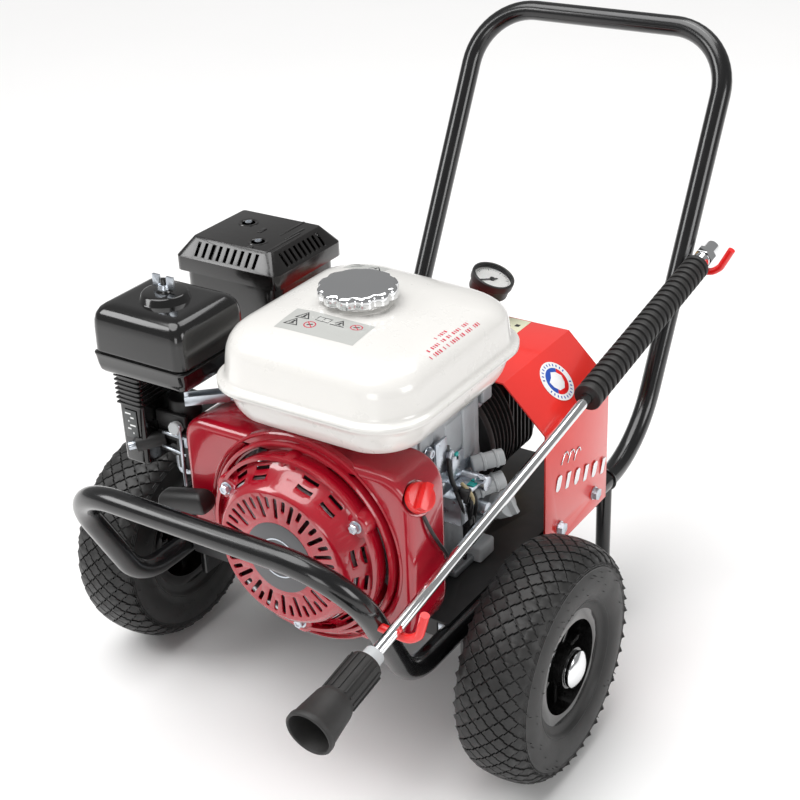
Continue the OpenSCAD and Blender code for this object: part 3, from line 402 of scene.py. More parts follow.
def coat(name, color, rough, metal=0, clear=0, clearRough=0.05, tone=0.12, toneScale=25, gloss=0.12,
         grainScale=900, grainDepth=0.02, soft=0.5, dusty=0.0, peel=0.0):
    mat, shader, tree = newMaterial(name)
    change = shared(tree, driftGroup, {"Color": (*color, 1), "Scale": toneScale, "Tone": tone, "Roughness": rough,
                                       "Gloss": gloss})
    colour = change.outputs["Color"]
    if dusty:
        colour = shared(tree, dustGroup, {"Amount": dusty, "Color": colour}).outputs["Color"]
    fine = shared(tree, grainGroup, {"Scale": grainScale, "Soft": soft})
    bump = tree.nodes.new("ShaderNodeBump")
    fill(bump, tree, {"Strength": 1.0, "Distance": grainDepth / 1000, "Height": fine.outputs["Height"]})
    if peel:
        wave = shared(tree, grainGroup, {"Scale": 120, "Soft": 0.2})
        swell = tree.nodes.new("ShaderNodeBump")
        fill(swell, tree, {"Distance": peel / 1000, "Height": wave.outputs["Height"]})
        fill(bump, tree, {"Normal": swell.outputs["Normal"]})
    fill(shader, tree, {"Base Color": colour, "Roughness": change.outputs["Roughness"], "Metallic": metal,
                        "Coat Weight": clear, "Coat Roughness": clearRough, "Normal": bump.outputs["Normal"]})
    return mat


looks = {
    "frame_black": coat("frameBlack", (0.004, 0.004, 0.0045), 0.22, clear=0.4, clearRough=0.07, tone=0.5, gloss=0.15,
                        grainScale=700, grainDepth=0.012, peel=0.05),
    "deck_black": coat("deckBlack", (0.016, 0.016, 0.017), 0.42, tone=0.5, grainDepth=0.03, dusty=0.06),
    "cover_red": coat("coverRed", (0.80, 0.030, 0.022), 0.32, clear=0.7, clearRough=0.08, tone=0.06, gloss=0.08,
                      grainScale=800, grainDepth=0.012, peel=0.05),
    "shroud_red": coat("shroudRed", (0.40, 0.003, 0.016), 0.24, clear=1.0, clearRough=0.04, tone=0.15, gloss=0.08,
                       grainDepth=0.006, peel=0.10),
    "tank_white": coat("tankWhite", (0.77, 0.755, 0.725), 0.28, clear=0.7, clearRough=0.08, tone=0.03, gloss=0.08,
                       grainDepth=0.006, peel=0.08),
    "chrome": coat("chromePlate", (0.80, 0.81, 0.82), 0.07, metal=1, tone=0.06, gloss=0.08, grainDepth=0.001),
    "zinc": coat("zincPlate", (0.56, 0.60, 0.65), 0.3, metal=1, tone=0.3, toneScale=90, gloss=0.25, grainScale=1600,
                 grainDepth=0.02),
    "steel": coat("turnedSteel", (0.45, 0.46, 0.48), 0.35, metal=1, tone=0.2, gloss=0.2, grainDepth=0.02),
    "cast_alu": coat("castAluminium", (0.42, 0.44, 0.46), 0.5, metal=0.75, tone=0.35, toneScale=60, gloss=0.2,
                     grainScale=1300, grainDepth=0.12, soft=0.65, dusty=0.15),
    "black_gloss": coat("glossBlackMoulding", (0.004, 0.0038, 0.0038), 0.16, clear=0.4, clearRough=0.06, tone=0.4,
                        grainDepth=0.008, peel=0.05),
    "black_matte": coat("satinBlackMoulding", (0.010, 0.0095, 0.0095), 0.45, tone=0.35, grainScale=1500,
                        grainDepth=0.05),
    "heat_black": coat("heatBlack", (0.005, 0.0042, 0.004), 0.22, clear=0.4, clearRough=0.12, tone=0.5,
                       grainDepth=0.02,
                       peel=0.1),
    "rubber": coat("mouldedRubber", (0.012, 0.0115, 0.0115), 0.55, tone=0.4, grainScale=1400, grainDepth=0.06,
                   dusty=0.05),
    "tyre": coat("tyreRubber", (0.008, 0.0078, 0.0078), 0.5, tone=0.5, toneScale=45, gloss=0.25, grainScale=1100,
                 grainDepth=0.08, dusty=0.035),
    "brass": coat("machinedBrass", (0.60, 0.40, 0.14), 0.32, metal=1, tone=0.25, grainDepth=0.02),
    "signal_red": coat("redVinyl", (0.78, 0.012, 0.012), 0.3, clear=0.4, clearRough=0.1, tone=0.1, grainDepth=0.01,
                       peel=0.06),
    "dial_white": coat("printedDial", (0.86, 0.86, 0.84), 0.5, tone=0.03, grainDepth=0.002),
    "filter_paper": coat("filterPaper", (0.55, 0.38, 0.15), 0.9, tone=0.2, grainDepth=0.1),
    "ceramic": coat("glazedInsulator", (0.8, 0.8, 0.77), 0.2, clear=0.8, tone=0.05),
    "grey_plastic": coat("greyMoulding", (0.50, 0.52, 0.53), 0.42, tone=0.08, grainDepth=0.03),
}
extra = {
    "blackInk": coat("blackInk", (0.02, 0.02, 0.022), 0.5, tone=0.2, grainDepth=0.004),
    "redInk": coat("redInk", (0.62, 0.03, 0.07), 0.45, tone=0.1, grainDepth=0.004),
    "labelGrey": coat("labelFilm", (0.47, 0.475, 0.455), 0.35, tone=0.05, grainDepth=0.004),
    "labelDark": coat("labelDark", (0.08, 0.085, 0.085), 0.35, tone=0.2, grainDepth=0.004),
    "labelWhite": coat("labelWhite", (0.85, 0.86, 0.86), 0.35, tone=0.04, grainDepth=0.004),
    "labelBlue": coat("labelBlue", (0.02, 0.08, 0.42), 0.35, tone=0.1, grainDepth=0.004),
    "labelBeige": coat("labelBeige", (0.66, 0.66, 0.48), 0.4, tone=0.08, grainDepth=0.004),
    "tealSeal": coat("tealSealant", (0.02, 0.45, 0.42), 0.3, tone=0.2, grainDepth=0.03),
    "emblemGrey": coat("emblemGrey", (0.10, 0.10, 0.105), 0.4, tone=0.1, grainScale=1500, grainDepth=0.02),
    "leadBeige": coat("leadBeige", (0.62, 0.52, 0.30), 0.45, tone=0.1, grainDepth=0.01),
    "wireBlack": coat("wireSheath", (0.014, 0.014, 0.015), 0.35, tone=0.3, grainDepth=0.02),
    "darkRubber": coat("pumpBlack", (0.010, 0.010, 0.010), 0.45, tone=0.4, grainDepth=0.05),
}


def clearGlass():
    mat, shader, tree = newMaterial("dialGlass")
    smudge = shared(tree, driftGroup, {"Roughness": 0.02, "Gloss": 0.04})
    fill(shader, tree, {"Base Color": (1, 1, 1, 1), "Transmission Weight": 1.0, "IOR": 1.3,
                        "Roughness": smudge.outputs["Roughness"]})
    return mat


looks["lens"] = clearGlass()
slots = {row["node"]: row["material_slot"] for row in frame["record"]["subparts"]}
bodies = {node: body for body, members in frame["record"]["behaviour"]["bodies"].items() for node in members}
for node, obj in cad.items():
    obj.data.materials.clear()
    obj.data.materials.append(looks[slots[node]])
print("finishes ready")


def refit(node, edge=0.6, segments=2, angle=32, shade=35, look=None):
    obj = refined(node, edge, segments, angle, shade)
    return fit(obj, bodies[node], slots[node], look or looks[slots[node]], node)


def pick(obj, kind, test):  # leaves the edges or faces that pass the test selected, in edit mode
    only(obj)
    bpy.ops.object.mode_set(mode="EDIT")
    bpy.ops.mesh.select_mode(type=kind)
    bpy.ops.mesh.select_all(action="DESELECT")
    leaveEdit()
    for item in obj.data.edges if kind == "EDGE" else obj.data.polygons:
        item.select = test(item)
    bpy.ops.object.mode_set(mode="EDIT")


def boxStack(name, low, high, corner, rings, way=1, cornerSteps=8):  # rings of inset and height from the low face
    w, d = high[0] - low[0], high[1] - low[1]
    inset, start = rings[0]
    only()
    bpy.ops.mesh.primitive_cube_add(size=1)
    obj = named(name)
    placeInMesh(obj, Matrix.Diagonal(((w - 2 * inset) / 1000, (d - 2 * inset) / 1000, 0.0004, 1)))

    def upright(edge):
        a, b = (obj.data.vertices[i].co for i in edge.vertices)
        return abs(a.z - b.z) > 0.0002

    pick(obj, "EDGE", upright)
    bpy.ops.mesh.bevel(offset=max(corner - inset, 2) / 1000, segments=cornerSteps, profile=0.5)
    pick(obj, "FACE", lambda face: face.normal.z * way > 0.9)
    last = (inset, start + 0.2)
    for inset, height in rings[1:]:
        bpy.ops.mesh.extrude_region_move()
        bpy.ops.transform.resize(value=((w - 2 * inset) / (w - 2 * last[0]), (d - 2 * inset) / (d - 2 * last[0]), 1))
        bpy.ops.transform.translate(value=(0, 0, (way * height - way * last[1]) / 1000))
        last = (inset, height)
    outward(obj)
    place = at((low[0] + high[0]) / 2, (low[1] + high[1]) / 2, low[2] + way * start)
    return placeInMesh(obj, shift(place))


# ---- camera, light and floor ----

camera = {"azimuth": 34.0, "tilt": 27.7, "roll": -2.4, "lens": 68.23, "place": (848.2, -1127.4, 1104.4)}


def setCamera():
    a, e, r = (radians(camera[k]) for k in ("azimuth", "tilt", "roll"))
    back = Vector((sin(a) * cos(e), -cos(a) * cos(e), sin(e)))
    right = Vector((cos(a), sin(a), 0))
    up = back.cross(right)
    sideways = cos(r) * right + sin(r) * up
    upwards = -sin(r) * right + cos(r) * up
    lens = bpy.data.cameras.new("photoCamera")
    lens.lens = camera["lens"]
    lens.sensor_width = 36
    lens.clip_start = 0.01
    obj = bpy.data.objects.new("photoCamera", lens)
    inScene(obj)
    turn = Matrix((sideways, upwards, back)).transposed().to_4x4()
    obj.matrix_world = shift(at(*camera["place"])) @ turn
    bpy.context.scene.camera = obj


lamps = [  # name, place in metres, aims at, size, watts
    ("keySoftbox", (-1.6, -1.4, 1.7), (0, 0, 0.3), 0.9, 16),
    ("topSoftbox", (0.2, 0.9, 2.4), (0, 0, 0.3), 1.2, 14),
    ("rightSoftbox", (2.2, -0.2, 1.1), (0, 0, 0.3), 0.9, 12),
    ("frontFill", (0.9, -2.4, 0.7), (0, 0, 0.3), 0.8, 7),
]


def setLight():
    world = bpy.data.worlds.new("paleStudio")
    bpy.context.scene.world = world
    world.use_nodes = True
    sky = world.node_tree.nodes["Background"]
    sky.inputs["Color"].default_value = (1.0, 1.0, 1.0, 1)
    sky.inputs["Strength"].default_value = 0.3
    sun = bpy.data.objects.new("softDaylight", bpy.data.lights.new("softDaylight", "SUN"))
    sun.data.energy = 2.35
    sun.data.angle = radians(50)
    sun.rotation_euler = (radians(14), radians(-12), 0)
    inScene(sun)
    for name, place, target, size, power in lamps:
        light = bpy.data.lights.new(name, "AREA")
        light.shape = "SQUARE"
        light.size = size
        light.energy = power
        obj = bpy.data.objects.new(name, light)
        inScene(obj)
        obj.location = place
        obj.rotation_euler = (Vector(target) - Vector(place)).to_track_quat("-Z", "Y").to_euler()
    only()
    bpy.ops.mesh.primitive_plane_add(size=14)
    floor = named("paleFloor")
    floor.data.materials.append(coat("paleFloorPaint", (0.95, 0.945, 0.94), 0.55, tone=0.01, toneScale=2,
                                     grainDepth=0.01))


setCamera()
setLight()
print("camera and light set")
bpy.context.scene.view_settings.view_transform = "Standard"

# ---- trolley ----

tubing = {"radius": 12.5, "halfSpan": 176, "railZ": 166, "splitY": 302.9}
handleBar = {"foot": 387, "slope": 62, "reach": 522, "lowBend": 130, "highBend": 78}
frontBar = {"foot": -135, "slope": 61.5, "reach": 190, "lowBend": 60, "highBend": 75}


def hoop(name, bar, way):
    x, z, start = tubing["halfSpan"], tubing["railZ"], tubing["splitY"]
    angle = radians(bar["slope"])
    top = (bar["foot"] + way * bar["reach"] * cos(angle), z + bar["reach"] * sin(angle))
    corners = [(x, start, z), (x, bar["foot"], z), (x, *top), (-x, *top), (-x, bar["foot"], z), (-x, start, z)]
    radii = [bar["lowBend"], bar["highBend"], bar["highBend"], bar["lowBend"]]
    return tube(name, bent(corners, radii, 14), tubing["radius"], 9)


wear(hoop("handleTube", handleBar, 1), "frame_black", "handle_hoop")
frameParts = [hoop("frameTube", frontBar, -1)]
for side in (-1, 1):
    for y in (150, 235):
        frameParts.append(block("coverTab", (side * 189.6, y, 183), (2.8, 26, 33), 0.6))
    frameParts.append(block("axlePlate", (side * 176, 0, 140), (8, 64, 60), 1.2))
    frameParts.append(rod("axleBoss", (side * 172, 0, 130), (side * 219, 0, 130), 15, 1))
    frameParts.append(turned("weldSeam", [(12.6, -2), (14.4, -1), (14.8, 0), (14.4, 1), (12.6, 2)],
                             (side * 176, 302, 166), (0, 1, 0), 32))
wear(joined("frameTube", frameParts), "frame_black", "base_frame")
refit("rear_stand", 0.4)
refit("rubber_feet", 1.2, 3)
refit("base_plate", 0.8)
refit("axle", 0.8)
refit("axle_caps", 0.5, 2, 40, 50)
print("trolley done")

# ---- wheels ----

tyre = {"blocks": 43, "rows": 4, "pitch": 9.3, "blockHeight": 2.5, "gap": 1.5, "jog": 0.9, "whiskers": 46}
tyreHalf = [(127.2, 0), (126.8, 8), (126.0, 15), (124.6, 22), (122.3, 28), (119.3, 33), (116.0, 36.2),
            (114.2, 37.1), (113.7, 38.2), (112.7, 38.2), (112.2, 37.9), (111.7, 38.9), (110.7, 38.9), (110.2, 38.5),
            (109.7, 39.6), (108.6, 39.6), (107.8, 39.2), (104, 40.3), (99, 41.6), (92, 42.3), (85, 41.9), (79, 40.2),
            (75.5, 38.0), (74.4, 38.3), (73.2, 37.6), (71.5, 35.2), (69.5, 33.4), (66, 32.2), (63.5, 31.2), (60, 29.5),
            (58, 26), (62, 22), (75, 26)]


def onTread(s):  # distance across the tread to radius, sideways place and slope
    side = -1 if s < 0 else 1
    left = abs(s)
    for (r0, x0), (r1, x1) in zip(tyreHalf, tyreHalf[1:]):
        step = hypot(r1 - r0, x1 - x0)
        if left <= step or r1 < 113.8:
            f = left / step
            slope = atan2(x1 - x0, r0 - r1)
            return r0 + (r1 - r0) * f, side * (x0 + (x1 - x0) * f), sin(slope), side * cos(slope)
        left -= step


def treadBlock():
    half = (tyre["pitch"] - tyre["gap"] / sqrt(2)) / 1000
    jog = tyre["jog"] / 1000 / sqrt(2)
    only()
    bpy.ops.mesh.primitive_circle_add(vertices=12, radius=half, fill_type="NGON")
    obj = named("treadBlock")
    corners = [(half, 0), (0, half), (-half, 0), (0, -half)]
    ring = []
    for i in range(4):
        (ax, ay), (bx, by) = corners[i], corners[(i + 1) % 4]
        mx, my = (ax + bx) / 2, (ay + by) / 2
        out = Vector((mx, my)).normalized() * jog
        ring += [(ax, ay), (mx - out.x, my - out.y), (mx + out.x, my + out.y)]
    for vertex, (x, y) in zip(obj.data.vertices, ring):
        vertex.co = (x, y, 0)
    editAll(obj)
    bpy.ops.mesh.extrude_region_move(TRANSFORM_OT_translate={"value": (0, 0, tyre["blockHeight"] / 1000 + 0.001)})
    bpy.ops.mesh.inset(thickness=0.0005, depth=0.0004)
    return outward(obj)


def wrapped(source, u, s, tall):  # a copy of a block laid on the tread at angle u
    other = copied(source, Matrix.Identity(4))
    for vertex in other.data.vertices:
        x, y, h = vertex.co * 1000
        r, across, nr, nx = onTread(s + y)
        h = (h - 1.0) * tall if h > 0.5 else h - 1.4
        angle = u + x / 127.2
        r, across = r + nr * h, across + nx * h
        vertex.co = Vector((r * cos(angle), r * sin(angle), across)) / 1000
    return other


def makeTyre():
    half = tyreHalf
    profile = half + [(r, -x) for r, x in reversed(half)][:-1] + [half[0]]
    body = turned("tyreBody", profile, (0, 0, 0), (0, 0, 1), 128, hollow=True, angle=40)
    body.data.transform(shift(-at(0, 0, 0)))
    source = treadBlock()
    parts = [body]
    turnStep = 2 * pi / tyre["blocks"]
    for row in range(-tyre["rows"], tyre["rows"] + 1):
        tall = 1.0 if abs(row) < 3 else (0.8 if abs(row) == 3 else 0.45)
        for i in range(tyre["blocks"]):
            parts.append(wrapped(source, (i + 0.5 * (row % 2)) * turnStep, row * tyre["pitch"], tall))
    for i in range(tyre["whiskers"]):
        r = random.choice((84, 97, 104, 104, 92)) + random.uniform(-2, 2)
        spin = random.uniform(0, 2 * pi)
        only()
        bpy.ops.mesh.primitive_cone_add(vertices=6, radius1=0.0006, radius2=0.0003, depth=0.0026)
        hair = named("mouldHair")
        for end in (-1, 1):
            other = copied(hair, Matrix.Rotation(spin, 4, "Z") @ shift((r / 1000, 0, end * 0.0421))
                           @ Matrix.Rotation(0.5, 4, "X"))
            parts.append(other)
        bpy.data.objects.remove(hair)
    bpy.data.objects.remove(source)
    return joined("tyre", parts)


tyreMesh = makeTyre()
smooth(tyreMesh, 38)
for name, side in (("left", -1), ("right", 1)):
    place = shift(at(side * 253.6, 0, 130)) @ spun(90 * side, "Y")
    other = copied(tyreMesh, place)
    other.name = "tyre_" + name + "_tread"
    fit(other, "wheel_" + name, "tyre", looks["tyre"], "tyre_" + name)
    refit("rim_" + name, 0.9, 2)
bpy.data.objects.remove(tyreMesh)
print("wheels done")

# ---- pump cover ----

refit("pump_cover", 0.8, 3)
refit("hex_bolts", 0.5, 2)


def plate(name, outline, origin, across, up, thick, look, edge=0.08):
    obj = flatShape(name, outline, thick, min(edge, thick * 0.4))
    x, y = Vector(across).normalized(), Vector(up).normalized()
    z = x.cross(y)
    turn = Matrix((x, y, z)).transposed().to_4x4()
    placeInMesh(obj, shift(at(*origin)) @ turn @ shift((0, 0, thick / 2000)))
    return fit(smooth(obj), "machine", "cover_red", look)


rearward = Vector((0, 1, 0))
slopeUp = Vector((-51.5, 0, 51)).normalized()
badge = (166.8, 191, 345.6)
slopeOut = rearward.cross(slopeUp)


def onSlope(dx, dy, lift=0.0):
    return tuple(Vector(badge) + rearward * dx + slopeUp * dy + slopeOut * lift)


disc = arc(0, 0, 24, 0, 352, 44)
plate("badgeRing", disc, onSlope(0, 0), (0, 1, 0), slopeUp, 0.3, extra["labelWhite"])
plate("badgeBlue", arc(0, 0, 16.5, 45, 225, 24), onSlope(0, 0, 0.3), (0, 1, 0), slopeUp, 0.12, extra["labelBlue"],
      0.03)
plate("badgeRed", arc(0, 0, 16.5, 225, 405, 24), onSlope(0, 0, 0.3), (0, 1, 0), slopeUp, 0.12, looks["signal_red"],
      0.03)
plate("badgeCentre", [(-11, -3), (-6, -10), (3, -11), (9, -6), (12, 2), (7, 9), (0, 12), (-5, 7), (-12, 4)],
      onSlope(0, 0, 0.42), (0, 1, 0), slopeUp, 0.12, extra["labelWhite"], 0.03)
dots = []
for i in range(26):
    if i % 13 in (0, 12):
        continue
    a = radians(360 * i / 26)
    dots.append(plate("badgeTick", roundBox(1.5, 3.2, 0.4, 2), onSlope(20.2 * cos(a), 20.2 * sin(a), 0.3),
                      rearward * -sin(a) + slopeUp * cos(a),
                      -(rearward * cos(a) + slopeUp * sin(a)), 0.1, extra["labelBlue"], 0.03))
mark(joined("badgeTicks", dots), "cover_red", "labelBlue")
marks = []
for i in range(6):  # a row of plain raised shapes where the real one has lettering
    shape = [roundBox(12, 20, 5.5, 5), roundBox(9, 20, 1.5, 3)][i % 2]
    lean = rearward + Vector((0, 0, -0.30))
    upward = Vector((0, 0.16, 1))
    marks.append(plate("coverMark", shape, (193.0, 147 + 22 * i, 246 - 6.6 * i), lean, upward, 1.0, looks["chrome"],
                       0.3))
fit(joined("coverMarks", marks), "machine", "cover_red", looks["chrome"])
waves = []
for i in range(3):
    path = [(193.6, 152 + 15 * i, 267 - 4.5 * i), (193.6, 158 + 15 * i, 278 - 4.5 * i),
            (193.6, 166 + 15 * i, 282 - 4.5 * i),
            (193.6, 168 + 15 * i, 272 - 4.5 * i)]
    waves.append(tube("coverWave", path, 0.9, 3, loose=True))
fit(joined("coverWaves", waves), "machine", "cover_red", looks["chrome"])
mark(block("topLabel", (72, 246, 370.15), (44, 40, 0.3), 0.1), "cover_red", "labelBeige")
inkParts = [block("topInk", (58 + 9 * i, 243 + 7 * (i % 2), 370.35), (5.5, 6, 0.14), 0.04) for i in range(4)]
inkParts += [block("topInk", (70, 231 + 1.6 * i, 370.35), (30 - 5 * (i % 2), 0.7, 0.14), 0.04) for i in range(4)]
mark(joined("topInk", inkParts), "cover_red", "blackInk")
print("cover done")

# ---- lance ----

lanceTilt = radians(9.1)


def onLance(s, x=206.0):
    return (x, -337 + s * cos(lanceTilt), 253 + s * sin(lanceTilt))


lanceWay = (0, cos(lanceTilt), sin(lanceTilt))
fit(rod("lanceTube", onLance(76), onLance(833), 6, 0.4, 40), "lance", "chrome", looks["chrome"], "lance_tube")
refit("lance_grip", 1.1, 3)
refit("lance_fitting", 0.6, 2, look=looks["chrome"])
refit("nozzle_holder", 0.6)
guardProfile = [(8.5, 60), (15.2, 45), (17.5, 36), (20.8, 1.4), (21.2, 0.5), (22.0, 0), (23.2, 0.2), (23.9, 1.0),
                (24, 5), (23.6, 6.6), (22.6, 8.2), (20.2, 30), (19.4, 38), (18.6, 41), (17.2, 43), (16.6, 46),
                (16.4, 88), (16.0, 91), (15, 92), (10.2, 92), (10.1, 75), (8.5, 74), (8.5, 60)]
guard = turned("guardCup", guardProfile, onLance(0), lanceWay, 72, hollow=True, angle=40)
ribs = []
for i in range(14):
    spin = 360 * i / 14
    only()
    bpy.ops.mesh.primitive_cube_add(size=1)
    rib = named("guardRib")
    rib.scale = (0.0030, 0.0016, 0.044)
    placeInMesh(rib)
    modify(rib, "BEVEL", width=0.0006, segments=2)
    placeInMesh(rib, facing(onLance(67), lanceWay, spin) @ shift((0.0165, 0, 0)))
    ribs.append(rib)
fit(joined("guardCup", [guard, *ribs]), "lance", "rubber", looks["rubber"], "nozzle_guard")


def lanceLine(y):
    return 253 + (y + 337) * tan(lanceTilt)


def hookPiece(name, y, seat, reach):
    z = lanceLine(y) - (seat + 4.5) / cos(lanceTilt) - 0.3
    path = bent([(183, y, z + 3), (218, y, z), (229, y, z + 9), (206 + reach, y, z + 34)], [18, 10], 8)
    return rounded(tube(name, path, 4.5, 6), 3.4, 4, 60)


hooks = joined("hooks", [hookPiece("frontHook", -194, 6, 30), hookPiece("rearHook", 495, 11, 36)])
wear(smooth(hooks, 60), "signal_red", "lance_hooks")
print("lance done")

# ---- engine ----

crank = (54, 287.5)
shroud = {"front": -130, "back": -66, "edge": 9, "hole": 98.5}


def shroudOutline():
    x, z = crank
    return (arc(x, z, 104, 190, 262, 12) + arc(x + 74, 237.5, 54, 280, 360, 8) + arc(x + 94, z + 66, 34, 0, 90, 8)
            + arc(-67, z + 74, 26, 90, 180, 8) + arc(-75, z - 16, 18, 180, 262, 6))


def frontPiece(name, outline, front, back, edge, holes=()):  # a shape seen from the front, X and Z
    obj = flatShape(name, outline, back - front, edge, holes)
    place = shift(at(0, (front + back) / 2, 0)) @ spun(90, "X")
    return smooth(placeInMesh(obj, place), 40)


def ringAt(name, profile, y, angle=35, hollow=True, sides=96):
    return turned(name, profile, (crank[0], y, crank[1]), (0, -1, 0), sides, hollow=hollow, angle=angle)


shroudParts = [frontPiece("shroudCase", shroudOutline(), shroud["front"], shroud["back"], shroud["edge"],
                          [arc(*crank, shroud["hole"] + shroud["edge"], 0, 357.5, 143)])]
switchAt, switchAxis = Vector((176.4, -112.8, 360.5)), Vector((0.8029, -0.3002, 0.5150))
seat = {"radius": 17.4, "pad": 17.9, "floor": 3.0}
cutter = turned("seatCutter", [(seat["radius"], seat["floor"]), (seat["radius"], 40)], switchAt, switchAxis, 64)
modify(shroudParts[0], "BOOLEAN", object=cutter, operation="DIFFERENCE", solver="EXACT")
bpy.data.objects.remove(cutter)
shroudParts.append(turned("switchPad", [(seat["pad"], -9), (seat["pad"], 2.0), (17.2, seat["floor"])], switchAt,
                          switchAxis, 64))
shroudParts.append(ringAt("shroudCollar", [(99, -10), (107.5, -10), (108.2, 2), (107.4, 4.5), (105.6, 5.6),
        (103.6, 5.2),
                                           (102.6, 3.5), (102.2, -2), (100.4, -2), (99.6, -4), (99, -10)],
                          shroud["front"]))
shroudParts.append(ringAt("shroudRidge", [(112, -6), (117, -6), (116.0, 0.6), (114.5, 1.8), (113, 0.6), (112, -6)],
                          shroud["front"]))
only()
case = joined("shroudCase", shroudParts)
case.data.materials.clear()
# the ridge and collar are trimmed where they would stand past the case's own outline
editAll(case)
bpy.ops.mesh.bisect(plane_co=at(-93, 0, 0), plane_no=(-1, 0, 0), clear_outer=True, use_fill=True)
leaveEdit()
wear(smooth(case, 40), "shroud_red", "fan_shroud")

recoil = refined("recoil_housing", 0.7, 2, 30, 40)
recoilParts = [recoil]
for angle in (31, 151, 271):
    a = radians(angle)
    x, z = crank[0] + 90 * cos(a), crank[1] + 90 * sin(a)
    recoilParts.append(turned("bossPad", [(14, -26), (13.5, 4), (12.5, 6), (9.5, 7), (7, 7)], (x, -141, z), (0, -1, 0),
                              40))
    hexPiece = hexHead("caseBolt", (x, -148.6, z), (0, -1, 0), 9.5, 5.5, 6.8, spin=20)
    wear(hexPiece, "zinc")
for angle in (91, 211, 331):
    a = radians(angle)
    x, z = crank[0] + 88 * cos(a), crank[1] + 88 * sin(a)
    recoilParts.append(turned("dimplePad", [(12, -26), (11.5, 3), (10.5, 5), (7, 5.6), (4.2, 5.4), (3.4, 3.6),
            (1, 3.2)],
                              (x, -141, z), (0, -1, 0), 40))
wear(smooth(joined("recoilCase", recoilParts), 40), "shroud_red", "recoil_housing")
wear(ringAt("recoilGuardRing", [(94, 0), (97.6, 0), (98.2, 1.5), (98.2, 8), (97.6, 9), (94, 9), (94, 0)], -139),
    "shroud_red")
mark(ringAt("recoilEmblem", [(38.6, 0), (38.6, 0.5), (38.0, 0.9), (20, 1.0), (2, 1.0)], -171, hollow=False),
     "shroud_red", "emblemGrey")
emblem = [ringAt("emblemRing", [(22, 0.9), (22, 1.5), (20.6, 1.5), (20.6, 0.9), (22, 0.9)], -171)]
for i in range(3):
    emblem.append(block("emblemBar", (crank[0] - 12 + 12 * i, -172.3, crank[1] - 6), (5.5, 0.8, 12), 0.3))
fit(joined("emblemMarks", emblem), "machine", "shroud_red", looks["zinc"])
wear(ringAt("innerNet", [(80, -4), (60, -3), (30, -2), (3, -2)], -160, hollow=False), "steel")

for node in ("crankcase", "crankcase_cover", "cylinder_head"):
    refit(node, 0.9, 2)
for node in ("rocker_cover", "plug_cap", "muffler", "starter_grip", "switch_housing", "unloader_valve", "pump_head",
             "valve_caps", "inlet_fitting", "outlet_fitting", "wing_nut", "oil_plug", "throttle_lever", "choke_lever",
             "fuel_lever", "pressure_knob"):
    refit(node, 0.5, 2)
refit("switch_knob", 1.2, 3)
refit("pump_flange", 0.4, look=extra["darkRubber"])
refit("pump_crankcase", 0.5, look=extra["darkRubber"])

# right side of the engine
rightParts = [block("tankBoss", (123, 97, 382), (22, 20, 52), 3, 3),
              block("tankBoss", (120, -22, 384), (26, 26, 56), 3, 3),
              block("caseWeb", (126, 60, 338), (14, 26, 62), 3, 3),
              block("caseWeb", (126, 40, 345), (10, 50, 40), 3, 3),
              block("caseRib", (130, -10, 300), (6, 8, 90), 2), block("caseRib", (130, -38, 280), (6, 8, 110), 2),
              block("caseFoot", (134, 34, 186), (14, 40, 9), 2.5, 3)]
wear(joined("caseBosses", rightParts), "cast_alu")
control = refined("control_unit", 0.5)
zincParts = [control, block("controlTop", (146, 34, 292), (24, 26, 4), 1),
             block("bracketTab", (136, -2, 338), (3, 22, 40), 1),
             block("bracketTab", (139, 16, 322), (9, 16, 22), 1.2)]
wear(joined("controlUnit", zincParts), "zinc", "control_unit")
for origin, way, size in (((137, 10, 336), (1, 0, 0), 10), ((134, -66, 362), (0.5, -0.85, 0.3), 12),
                          ((120, 97, 352), (1, 0, 0), 10),
                          ((134, -22, 352), (1, 0, 0), 10), ((158, 38, 297), (0.3, 0, 1), 8),
                          ((136, 78, 262), (1, 0, 0), 10)):
    wear(hexHead("sideBolt", origin, way, size, 5, size * 0.72, spin=random.uniform(0, 60)), "zinc")
cylinders = []
for start, end, r in (((136, 58, 299), (160, 84, 303), 9), ((136, 46, 270), (164, 78, 280), 10)):
    cylinders.append(rod("greyCan", start, end, r, 1.5))
    gap = (Vector(end) - Vector(start)).normalized()
    for f in (0.35, 0.75):
        mid = Vector(start).lerp(Vector(end), f)
        cylinders.append(turned("canBand", [(r, -2), (r + 1.1, -1.2), (r + 1.1, 1.2), (r, 2)], tuple(mid), gap, 32))
wear(joined("greyCans", cylinders), "grey_plastic")
seals = [block("sealDab", (153, 30, 294.6), (9, 8, 1.4), 0.6, 3), block("sealDab", (142, 18, 331), (3, 6, 9), 1, 3),
         block("sealDab", (150, 38, 294.6), (5, 4, 1.2), 0.5, 3)]
mark(joined("sealDabs", seals), "zinc", "tealSeal")
loom = [tube("loomLead", [(135, 12, 345), (142, 2, 322), (146, 6, 298), (150, 16, 285), (150, 24, 268)], 2.6, 4, True),
        tube("loomLead", [(150, 24, 290), (160, 18, 284), (158, 20, 268), (150, 26, 246), (146, 24, 214)], 2.3, 4,
             True),
        tube("loomLead", [(152, 30, 288), (162, 26, 280), (156, 30, 262), (150, 34, 238), (146, 36, 214)], 2.3, 4,
             True),
        tube("loomLead", [(146, 8, 296), (156, 2, 288), (154, 10, 272), (148, 20, 256), (144, 30, 226),
                          (140, 34, 196)], 2.2, 4, True),
        tube("loomLead", [(138, 14, 284), (150, 10, 280), (158, 18, 276), (150, 30, 270), (138, 36, 262)], 2.0, 4,
             True),
        block("loomSheath", (151, 24, 264), (9, 14, 34), 3, 3, (8, 0, 0)),
        block("plugBody", (153, 14, 290), (12, 10, 16), 2, 3, (0, 12, 20)),
        block("plugBody", (152, 30, 250), (8, 8, 20), 2, 3, (10, 0, 10))]
